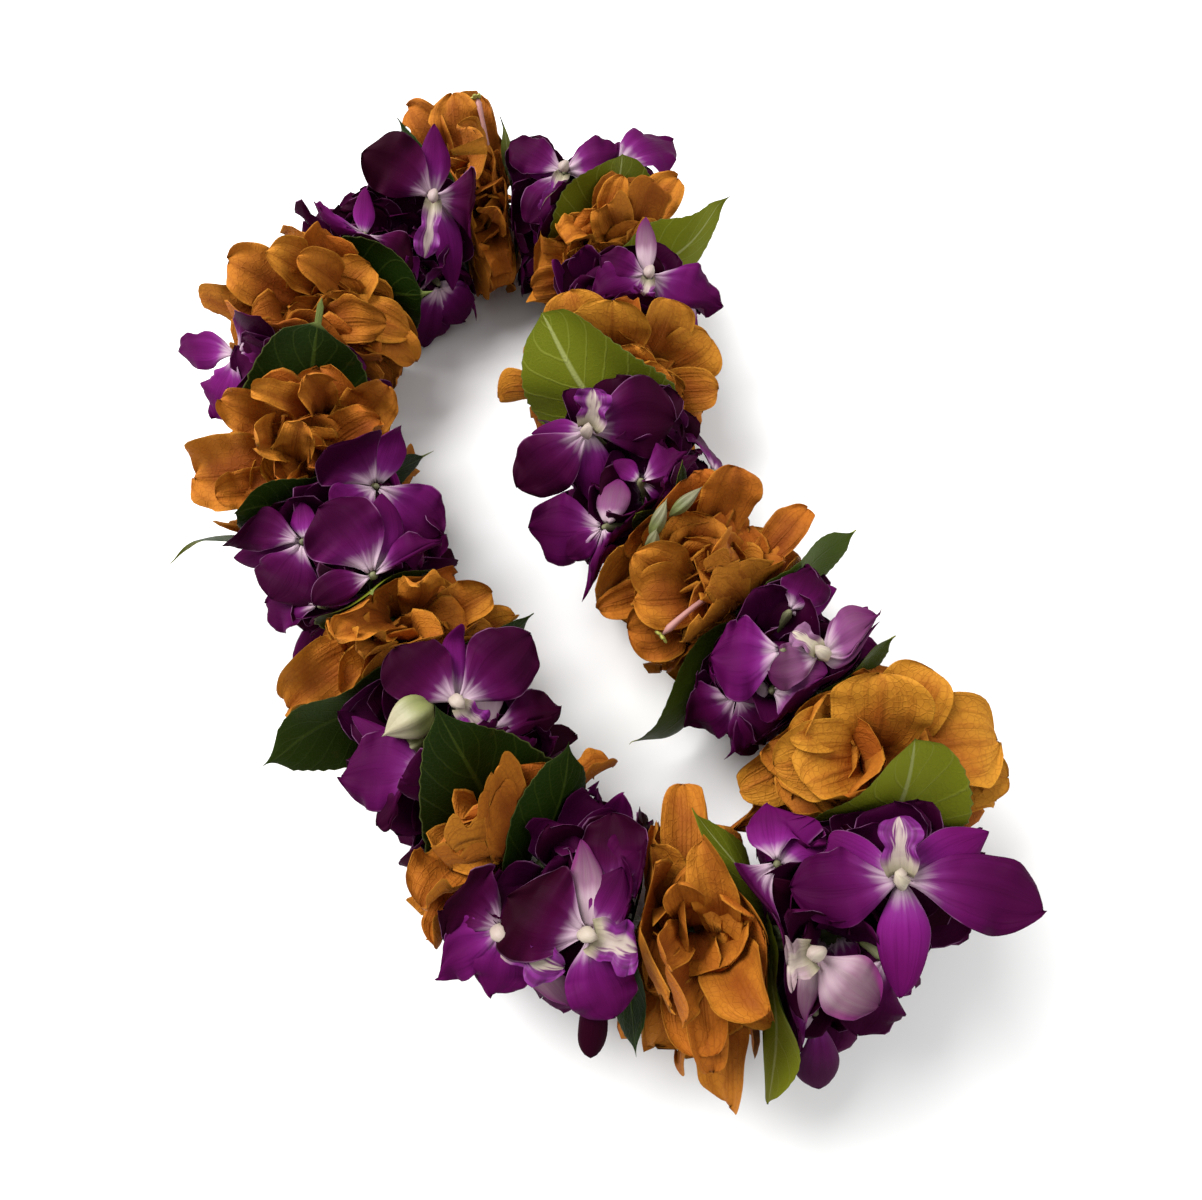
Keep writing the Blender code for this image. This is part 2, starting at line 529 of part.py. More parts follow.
def tube_flower(number, middle, bloom):
    """The small pink tube flower that stands in a bract."""
    near_core = min(max(bloom.root_along, -half_room(number)), half_room(number))
    path = [LOOP.spot(middle + near_core, bloom.root_around, ROOT_OUT),
            LOOP.spot(middle + near_core, bloom.root_around, ROOT_OUT + 2),
            LOOP.spot(middle + bloom.root_along, bloom.root_around, bloom.out * 0.7),
            LOOP.spot(middle + bloom.along, bloom.around, bloom.out - 3),
            LOOP.spot(middle + bloom.along, bloom.around, bloom.out)]
    return [tube(number, path, [1.2, 1.6, 2.6], 3)]


MAKERS = {"Orchid": orchid, "Bract": bract, "Tube": tube_flower}


def hidden_blooms(number, name, half):
    """The blooms on the lei's low sides, which no view from above shows, placed by rule."""
    draw = random.Random(name)
    if name.startswith("orchids"):
        blooms = []
        for around in HIDDEN_ORCHIDS if half > SMALL_CLUSTER else ():
            clock = draw.uniform(60, 120)
            parts = (petal(clock - 64, 36, 32), petal(clock + 64, 36, 32), sepal(clock, 36, 15))
            blooms.append(Orchid(draw.uniform(-0.25, 0.25) * half, around, 25, 0, 0, parts))
        return blooms
    blooms = []
    for root_around, around, out in HIDDEN_BRACTS:
        along = draw.uniform(-0.4, 0.4) * half
        blooms.append(Bract(along, root_around, along + draw.uniform(-0.4, 0.4) * half, around, out, 30))
    return blooms


def stations(low, high):
    """Even places along the thread, both ends kept."""
    return np.linspace(low, high, max(2, round((high - low) / STATION_GAP) + 1))


def thread_stations():
    """Every place where the thread's line has a corner: the ends of each core and some between."""
    places = []
    for number in range(len(BOUNDARIES)):
        low = boundary_along(number, 0.0, 0.0) + CORE_END_GAP
        high = boundary_along(number + 1, 0.0, 0.0) - CORE_END_GAP
        places += list(stations(low, high))
    return places


def ring(along, radius, sides):
    """Points of a ring across the thread."""
    turns = 2 * math.pi * np.arange(sides) / sides
    return LOOP.place(np.full(sides, float(along)), radius * np.sin(turns), radius * np.cos(turns))


def loft(rings, sides, offset=0, flip=False):
    """Triangles between following rings."""
    faces = []
    for row in range(len(rings) - 1):
        for step in range(sides):
            a, b = offset + row * sides + step, offset + row * sides + (step + 1) % sides
            quad = [(a, a + sides, b + sides), (a, b + sides, b)]
            faces += [tuple(reversed(face)) for face in quad] if flip else quad
    return faces


def core(number):
    """A cluster's core: a short pipe of stalks, with the hole that the thread runs in."""
    low = boundary_along(number, 0.0, 0.0) + CORE_END_GAP
    high = boundary_along(number + 1, 0.0, 0.0) - CORE_END_GAP
    places, sides = stations(low, high), THREAD_SIDES
    outer = [ring(place, CORE_RADIUS, sides) for place in places]
    inner = [ring(place, CORE_HOLE, sides) for place in places]
    points = np.vstack(outer + inner)
    shift = len(places) * sides
    faces = loft(outer, sides) + loft(inner, sides, shift, flip=True)
    last = shift - sides
    for step in range(sides):
        after = (step + 1) % sides
        faces += [(step, after, shift + after), (step, shift + after, shift + step)]
        faces += [(last + step, shift + last + after, last + after),
                  (last + step, shift + last + step, shift + last + after)]
    return points, faces


def make_object(name, points, faces, material=None):
    mesh = bpy.data.meshes.new(name)
    mesh.from_pydata([tuple(point) for point in np.asarray(points) * MM], [], faces)
    body = bmesh.new()
    body.from_mesh(mesh)
    bmesh.ops.recalc_face_normals(body, faces=body.faces)
    body.to_mesh(mesh)
    body.free()
    item = bpy.data.objects.new(name, mesh)
    bpy.context.scene.collection.objects.link(item)
    if material:
        mesh.materials.append(material)
    return item


def apply_boolean(item, operation, operand, solver="MANIFOLD"):
    """Runs one Boolean on an object and keeps its result as the object's mesh."""
    change = item.modifiers.new("change", "BOOLEAN")
    change.operation = operation
    change.solver = solver
    if isinstance(operand, bpy.types.Collection):
        change.operand_type = "COLLECTION"
        change.collection = operand
    else:
        change.object = operand
    graph = bpy.context.evaluated_depsgraph_get()
    mesh = bpy.data.meshes.new_from_object(item.evaluated_get(graph))
    item.modifiers.clear()
    item.data = mesh


def keep_outer_body(item):
    """Keeps the one outer skin: fills sealed hollows and drops loose scraps."""
    body = bmesh.new()
    body.from_mesh(item.data)
    bmesh.ops.triangulate(body, faces=body.faces)
    bmesh.ops.dissolve_degenerate(body, dist=1e-7, edges=body.edges)
    bmesh.ops.triangulate(body, faces=body.faces)
    left, skins = set(body.faces), []
    while left:
        skin, edge = set(), [left.pop()]
        while edge:
            face = edge.pop()
            skin.add(face)
            for link in (other for side in face.edges for other in side.link_faces):
                if link in left:
                    left.remove(link)
                    edge.append(link)
        skins.append(skin)
    skins.sort(key=len, reverse=True)
    for skin in skins[1:]:
        bmesh.ops.delete(body, geom=list(skin), context="FACES")
    loose = [vert for vert in body.verts if not vert.link_faces]
    bmesh.ops.delete(body, geom=loose, context="VERTS")
    body.to_mesh(item.data)
    body.free()
    return len(skins) - 1


def fuse(name, solids, material, floor):
    """One body from a cluster's solids, cut flat where it presses on the table."""
    group = bpy.data.collections.new(name)
    bpy.context.scene.collection.children.link(group)
    item = make_object(name, *solids[0], material)
    for order, solid in enumerate(solids[1:]):
        part = make_object(f"{name}_{order}", *solid)
        bpy.context.scene.collection.objects.unlink(part)
        group.objects.link(part)
    apply_boolean(item, "UNION", group)
    for part in list(group.objects):
        bpy.data.objects.remove(part)
    bpy.data.collections.remove(group)
    apply_boolean(item, "DIFFERENCE", floor)
    dropped = keep_outer_body(item)
    item.data.materials.clear()
    item.data.materials.append(material)
    print(name, len(item.data.polygons), "faces,", dropped, "hollows and scraps left out")
    return item


def leaf(plan, material, floor):
    """A leaf that the thread pierces: it lies in the surface between two clusters."""
    spots, faces, rim = blade_grid(ROUND_LEAF if plan.name in ROUND_LEAVES else LEAF)
    length = plan.tip + plan.tail
    turn = math.radians(plan.around)
    side, rise = [], []
    for along, half, _ in spots:
        reach, across = along * length - plan.tail, half * plan.width / 2
        side.append(reach * math.sin(turn) + across * math.cos(turn))
        rise.append(reach * math.cos(turn) - across * math.sin(turn))
    side, rise = np.array(side), np.array(rise)
    base = boundary_along(plan.boundary, 0.0, 0.0)
    along = np.full(len(side), base)
    side, rise = off_inside(along, side, rise)
    side, rise = off_floor(side, rise)
    out, around = np.hypot(side, rise), np.degrees(np.arctan2(side, rise))
    stretch = np.maximum(1 + side * LOOP.read(LOOP.bend, along), LEAST_STRETCH)
    along = boundary_along(plan.boundary, out, around) + plan.slot * LEAF_SLOT / stretch
    points, faces = thicken(LOOP.place(along, side, rise), faces, rim, LEAF_THICKNESS)
    item = make_object(plan.name, points, faces, material)
    ends = (base - 2 * CORE_END_GAP, base + 2 * CORE_END_GAP)
    places = [ends[0], base - CORE_END_GAP, base + CORE_END_GAP, ends[1]]
    rings = [ring(place, CORE_HOLE, THREAD_SIDES) for place in places]
    points = np.vstack(rings)
    faces = loft(rings, THREAD_SIDES)
    faces += [tuple(range(THREAD_SIDES)), tuple(reversed(range(len(points) - THREAD_SIDES, len(points))))]
    cutter = make_object("thread_hole", points, faces)
    apply_boolean(item, "DIFFERENCE", cutter)
    bpy.data.objects.remove(cutter)
    if min(vertex.co.z for vertex in item.data.vertices) < 0:
        apply_boolean(item, "DIFFERENCE", floor)
    keep_outer_body(item)
    return item


def thread(material):
    """The closed thread, which fills its whole loop."""
    rings = [ring(place, THREAD_RADIUS, THREAD_SIDES) for place in thread_stations()]
    points = np.vstack(rings)
    faces = [tuple(index % len(points) for index in face) for face in loft(rings + rings[:1], THREAD_SIDES)]
    return make_object("thread", points, faces, material)


def finish(name, colour, roughness):
    """A plain material of one colour."""
    material = bpy.data.materials.new(name)
    material.use_nodes = True
    shader = material.node_tree.nodes["Principled BSDF"]
    shader.inputs["Base Color"].default_value = (*colour, 1.0)
    shader.inputs["Roughness"].default_value = roughness
    return material


def table_cutter():
    """The space under the table's top, which nothing reaches into."""
    corners = [(x, y, z) for z in (-20, 0) for x, y in ((-200, -300), (200, -300), (200, 300), (-200, 300))]
    faces = [(3, 2, 1, 0), (4, 5, 6, 7), (0, 1, 5, 4), (1, 2, 6, 5), (2, 3, 7, 6), (3, 0, 4, 7)]
    return make_object("table_cutter", corners, faces)


def main():
    for item in list(bpy.data.objects):
        bpy.data.objects.remove(item)
    purple = (0.14, 0.01, 0.16)
    orange = (0.55, 0.22, 0.02)
    green = (0.05, 0.11, 0.02)
    floor = table_cutter()
    thread(finish("thread", (0.75, 0.72, 0.6), 0.7))
    for number, cluster in enumerate(CLUSTERS):
        middle = (boundary_along(number, 0.0, 0.0) + boundary_along(number + 1, 0.0, 0.0)) / 2
        half = middle - boundary_along(number, 0.0, 0.0)
        solids = [core(number)]
        for bloom in cluster.blooms + tuple(hidden_blooms(number, cluster.name, half)):
            solids += MAKERS[type(bloom).__name__](number, middle, bloom)
        colour = purple if cluster.name.startswith("orchids") else orange
        fuse(cluster.name, solids, finish(cluster.name, colour, 0.5), floor)
    for plan in LEAVES:
        leaf(plan, finish(plan.name, green, 0.45), floor)
    bpy.data.objects.remove(floor)


main()
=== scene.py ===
# %% [markdown]
# # A flower lei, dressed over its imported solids
# A lei is a closed garland. Here purple orchids and orange papery bracts are strung by turns on one
# cotton thread, and nearly everywhere that two clusters meet stands a green leaf, pierced by the
# thread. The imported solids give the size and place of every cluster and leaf, with few faces. This
# scene puts a finely made piece over each of them.

import math
import random
from collections import namedtuple
from functools import partial

import bpy
import numpy as np
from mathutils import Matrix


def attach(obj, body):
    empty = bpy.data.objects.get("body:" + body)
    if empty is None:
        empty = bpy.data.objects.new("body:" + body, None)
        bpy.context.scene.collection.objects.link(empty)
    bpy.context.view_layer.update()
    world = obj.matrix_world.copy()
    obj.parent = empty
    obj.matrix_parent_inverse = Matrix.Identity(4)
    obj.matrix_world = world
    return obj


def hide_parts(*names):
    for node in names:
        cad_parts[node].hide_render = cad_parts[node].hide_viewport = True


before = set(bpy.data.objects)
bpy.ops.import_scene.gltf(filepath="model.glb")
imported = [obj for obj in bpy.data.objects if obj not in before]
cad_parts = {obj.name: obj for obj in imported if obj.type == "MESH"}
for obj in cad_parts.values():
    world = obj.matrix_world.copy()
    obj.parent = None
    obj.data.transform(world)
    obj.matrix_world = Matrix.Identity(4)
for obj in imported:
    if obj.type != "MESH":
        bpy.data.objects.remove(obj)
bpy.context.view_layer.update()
print("solids loaded:", len(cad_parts))

# %% [markdown]
# ## The loop of thread
# Every bloom is told by its place on the thread: how far along it, at what angle around it (0 is up,
# 90 is the loop's outer side) and how far out. Placing things this way keeps a garland a garland:
# bend the loop and the flowers go with it. Lengths are in millimetres until a mesh is made.

# %% The line of the thread
MM = 0.001
LOOP_POINTS = [
    (15, 181), (48, 173), (71, 148), (73, 110), (54, 66), (35, 25), (35, -20), (46, -58), (57, -100),
    (62, -138), (49, -167), (22, -178), (-14, -162), (-44, -140), (-65, -104), (-73, -58), (-79, -5),
    (-86, 45), (-82, 95), (-64, 140), (-32, 168),
]
LEI_MIDDLE = (-9.4, 0.8)
THREAD_HEIGHT = 39.0
LEAST_STRETCH = 0.35


class Loop:
    """The thread's closed line in plan, evenly sampled, with its direction, outer side and bend."""

    SAMPLES = 1800
    STEPS = 48
    SMOOTHING = 600
    BEND_REACH = 12

    def __init__(self, points):
        corners = np.array(points, float) - LEI_MIDDLE
        step = np.linspace(0, 1, self.STEPS, endpoint=False)[:, None]
        spans = []
        for a, b, c, d in zip(*(np.roll(corners, shift, 0) for shift in (1, 0, -1, -2))):
            spans.append(0.5 * (2 * b + (c - a) * step + (2 * a - 5 * b + 4 * c - d) * step**2
                                + (3 * b - a - 3 * c + d) * step**3))
        line = np.concatenate(spans)
        for _ in range(self.SMOOTHING):
            line = 0.5 * line + 0.25 * (np.roll(line, 1, 0) + np.roll(line, -1, 0))
        run = np.concatenate([[0], np.cumsum(np.linalg.norm(np.roll(line, -1, 0) - line, axis=1))])
        closed = np.vstack([line, line[:1]])
        self.length = run[-1]
        self.gap = self.length / self.SAMPLES
        even = np.arange(self.SAMPLES) * self.gap
        self.point = np.stack([np.interp(even, run, closed[:, axis]) for axis in (0, 1)], 1)
        ahead = np.roll(self.point, -1, 0) - np.roll(self.point, 1, 0)
        self.ahead = ahead / np.linalg.norm(ahead, axis=1)[:, None]
        self.outer = np.stack([-self.ahead[:, 1], self.ahead[:, 0]], 1)
        turn = np.roll(self.ahead, -1, 0) - np.roll(self.ahead, 1, 0)
        bend = -(self.ahead[:, 0] * turn[:, 1] - self.ahead[:, 1] * turn[:, 0]) / (2 * self.gap)
        near = range(-self.BEND_REACH, self.BEND_REACH + 1)
        self.bend = sum(np.roll(bend, shift) for shift in near) / len(near)

    def read(self, values, along):
        """Values along the thread, read between samples."""
        place = np.asarray(along, float) / self.gap % self.SAMPLES
        low = np.floor(place).astype(int) % self.SAMPLES
        part = place - np.floor(place)
        if values.ndim == 2:
            part = part[..., None]
        return values[low] * (1 - part) + values[(low + 1) % self.SAMPLES] * part

    def place(self, along, side, rise):
        """Points from thread coordinates: along it, to its outer side and above it."""
        plan = self.read(self.point, along) + self.read(self.outer, along) * np.asarray(side)[..., None]
        return np.concatenate([plan, (THREAD_HEIGHT + np.asarray(rise))[..., None]], -1)

    def locate(self, points, near, window=75.0):
        """Thread coordinates of points that lie within a window along the thread."""
        samples = np.arange(int((near - window) / self.gap), int((near + window) / self.gap))
        wrapped = samples % self.SAMPLES
        away = ((points[:, None, :2] - self.point[wrapped][None]) ** 2).sum(2)
        best = away.argmin(1)
        index = wrapped[best]
        offset = points[:, :2] - self.point[index]
        side = (offset * self.outer[index]).sum(1)
        stretch = np.maximum(1 + side * self.bend[index], LEAST_STRETCH)
        along = samples[best] * self.gap + (offset * self.ahead[index]).sum(1) / stretch
        return along, side, points[:, 2] - THREAD_HEIGHT

    def axes(self, along, around):
        """Unit vectors at a place on the thread: ahead, out from it, and around it."""
        ahead = np.append(self.read(self.ahead, along), 0.0)
        outer = np.append(self.read(self.outer, along), 0.0)
        up = np.array([0.0, 0.0, 1.0])
        sine, cosine = math.sin(math.radians(around)), math.cos(math.radians(around))
        return ahead, outer * sine + up * cosine, outer * cosine - up * sine

    def spot(self, along, around, out):
        """One point from a place along, around and out from the thread."""
        turn = math.radians(around)
        return self.place(np.array(along), np.array(out * math.sin(turn)), np.array(out * math.cos(turn)))


LOOP = Loop(LOOP_POINTS)
print(f"thread: {LOOP.length:.0f} mm round")


def unit(vector):
    return vector / np.linalg.norm(vector)


# %% [markdown]
# ## Where one cluster gives way to the next
# Crowded flowers press on each other. Rather than simulate that, each pair of neighbours shares a
# surface across the thread, leaning here and there, and petals are eased away from it the nearer
# they come. Leaves lie in such surfaces, side by side where two share one. The same easing keeps
# petals out of the loop's tight inside and lets the low ones settle on the table.

# %% Surfaces between the clusters
# How far along the thread each surface stands, then its leans as (around, spread, lean)
BOUNDARIES = [
    (-4, ((55, 36, -14), (-20, 45, 20))),
    (30, ((20, 45, -9), (-95, 38, 15))),
    (76, ((-25, 45, -8), (-98, 38, -26))),
    (108, ((30, 45, -11),)),
    (145, ()),
    (186, ((-45, 52, -26),)),
    (243, ((-75, 40, 10), (32, 30, -9))),
    (294, ((-10, 60, -14), (80, 32, 3), (-100, 35, 16))),
    (334, ((20, 50, -4), (70, 30, 6))),
    (382, ((5, 50, -17), (-50, 25, 8))),
    (444, ((-45, 40, 30), (80, 40, -1))),
    (488, ((-75, 40, 12), (45, 45, -14))),
    (528, ((-15, 50, 22), (-105, 35, -16))),
    (550, ((-5, 55, 24),)),
    (604, ((60, 40, 2), (115, 35, -17))),
    (640, ((0, 50, -17),)),
    (690, ((45, 40, -9), (98, 28, 9), (-90, 35, 14))),
    (738, ((-22, 45, 22), (62, 35, 8))),
    (762, ((-22, 45, 8), (62, 35, 16))),
    (815, ((-55, 45, 14),)),
]
# The room kept beside a surface, and how far apart the leaves that share one stand
LEAF_CLEAR, PETAL_CLEAR, LEAF_SLOT = 1.0, 0.5, 1.3
# A surface ripples round the thread, and its ripples and leans grow with the distance out
WAVE_HEIGHT, WAVES_ROUND, WAVE_OUT, WAVE_SHIFT = 2.6, 5, 11.0, 2.1
LEAN_START, LEAN_FULL, LEAN_LIMIT, LEAN_SOFT = 8.0, 40.0, 1.4, 0.25
# The share of their room that petals keep freely, and how those pressed back stand further out
FREE_SHARE, FOLD_SHARE, FOLD_FROM = 0.72, 0.4, 20.0
# The same for the loop's inside, where the room is a share of the bend's radius
INNER_FREE, INNER_SHARE, INNER_LIFT, WIDEST_BEND = 0.5, 0.68, 0.5, 150.0
FLOOR_HEIGHT, FLOOR_SOFT, FLOOR_SPREAD = 0.5, 5.0, 0.35


def boundary_along(index, out, around):
    """How far along the thread the surface between two clusters lies, at places around and out."""
    laps, number = divmod(index, len(BOUNDARIES))
    base, leans = BOUNDARIES[number]
    lean = sum(amount * np.exp(-(((around - middle + 180) % 360 - 180) / spread) ** 2)
               for middle, spread, amount in leans)
    share = np.clip((out - LEAN_START) / (LEAN_FULL - LEAN_START), 0, LEAN_LIMIT)
    wave = WAVE_HEIGHT * np.sin(WAVES_ROUND * np.radians(around) + WAVE_SHIFT * number + out / WAVE_OUT)
    return base + laps * LOOP.length + (lean * share / (share + LEAN_SOFT) + wave) * share


def pressed(reach, free):
    """Leaves a reach alone up to a free share of the room, and keeps the rest under 1."""
    return np.where(reach > free, free + (1 - free) * np.tanh((reach - free) / (1 - free)), reach)


def off_inside(along, side, rise):
    """Moves points off the tight inside of a bend, and lifts them by part of that."""
    bend = np.maximum(LOOP.read(LOOP.bend, along), 1 / WIDEST_BEND)
    limit = INNER_SHARE / bend
    reach = np.maximum(-side, 0) / limit
    eased = pressed(reach, INNER_FREE)
    moved = (reach - eased) * limit
    return np.where(side < 0, -eased * limit, side), rise + np.where(rise < 0, -1, 1) * INNER_LIFT * moved


def off_floor(side, rise):
    """Lets low points settle on the table, spread outwards by part of what they give up."""
    height = rise + THREAD_HEIGHT - FLOOR_HEIGHT
    eased = np.where(height < FLOOR_SOFT, FLOOR_SOFT * np.exp((height - FLOOR_SOFT) / FLOOR_SOFT), height)
    spread = FLOOR_SPREAD * (eased - height)
    return side + np.where(side < 0, -spread, spread), eased - THREAD_HEIGHT + FLOOR_HEIGHT


def between(along, low, high):
    """Eases places along the thread into the room between two limits."""
    middle, half = (low + high) / 2, (high - low) / 2
    return middle + np.sign(along - middle) * half * pressed(np.abs(along - middle) / half, FREE_SHARE)


def round_thread(along, side, rise):
    """How far out and around points are, and how much longer the thread's bend makes a step there."""
    stretch = np.maximum(1 + side * LOOP.read(LOOP.bend, along), LEAST_STRETCH)
    return np.hypot(side, rise), np.degrees(np.arctan2(side, rise)), stretch


def cluster_ends(number):
    return boundary_along(number, 0.0, 0.0), boundary_along(number + 1, 0.0, 0.0)


def cluster_middle(number):
    return sum(cluster_ends(number)) / 2


def clearance(index, ahead):
    """The room kept ahead of a surface (1) or behind it (-1): more where leaves lie there."""
    slots = [plan.slot * ahead for plan in LEAVES if plan.boundary == index % len(BOUNDARIES)]
    return LEAF_CLEAR + LEAF_SLOT * max(0.0, *slots) if slots else PETAL_CLEAR


def settle(points, number, inset=0.0):
    """Bends a cluster's petals clear of its neighbours, of the table and of the loop's inside."""
    along, side, rise = LOOP.locate(points, cluster_middle(number))
    side, rise = off_inside(along, side, rise)
    side, rise = off_floor(side, rise)
    for fold in (FOLD_SHARE, 0.0):
        out, around, stretch = round_thread(along, side, rise)
        low = boundary_along(number, out, around) + (clearance(number, 1) + inset) / stretch
        high = boundary_along(number + 1, out, around) - (clearance(number + 1, -1) + inset) / stretch
        eased = between(along, low, high)
        grow = 1 + fold * np.abs(along - eased) * stretch / np.maximum(out, FOLD_FROM)
        side, rise = side * grow, np.maximum(rise * grow, FLOOR_HEIGHT - THREAD_HEIGHT)
    return LOOP.place(eased, side, rise)


print("surfaces between clusters:", len(BOUNDARIES))

# %% [markdown]
# ## The plan of the flowers
# Each bloom of the photographed lei has a line here: its place, the way it leans, and for an orchid
# its petals, sepals and lip with the direction each one points in (its clock), its length and its
# width. A bract grows from its root place to its tip place. The table is the part of the work that
# no rule can do: it was read bloom by bloom.

# %% What a plan line holds
Part = namedtuple("Part", "kind clock length width")
Orchid = namedtuple("Orchid", "along around out lean_along lean_around parts")
Bract = namedtuple("Bract", "root_along root_around along around out width")
Tube = namedtuple("Tube", "root_along root_around along around out")
Leaf = namedtuple("Leaf", "name boundary around tip tail width slot")
Cluster = namedtuple("Cluster", "name blooms")


petal, sepal, lip = (partial(Part, kind) for kind in ("petal", "sepal", "lip"))
print("a line is an Orchid with its parts, a Bract, a Tube flower or a Leaf")

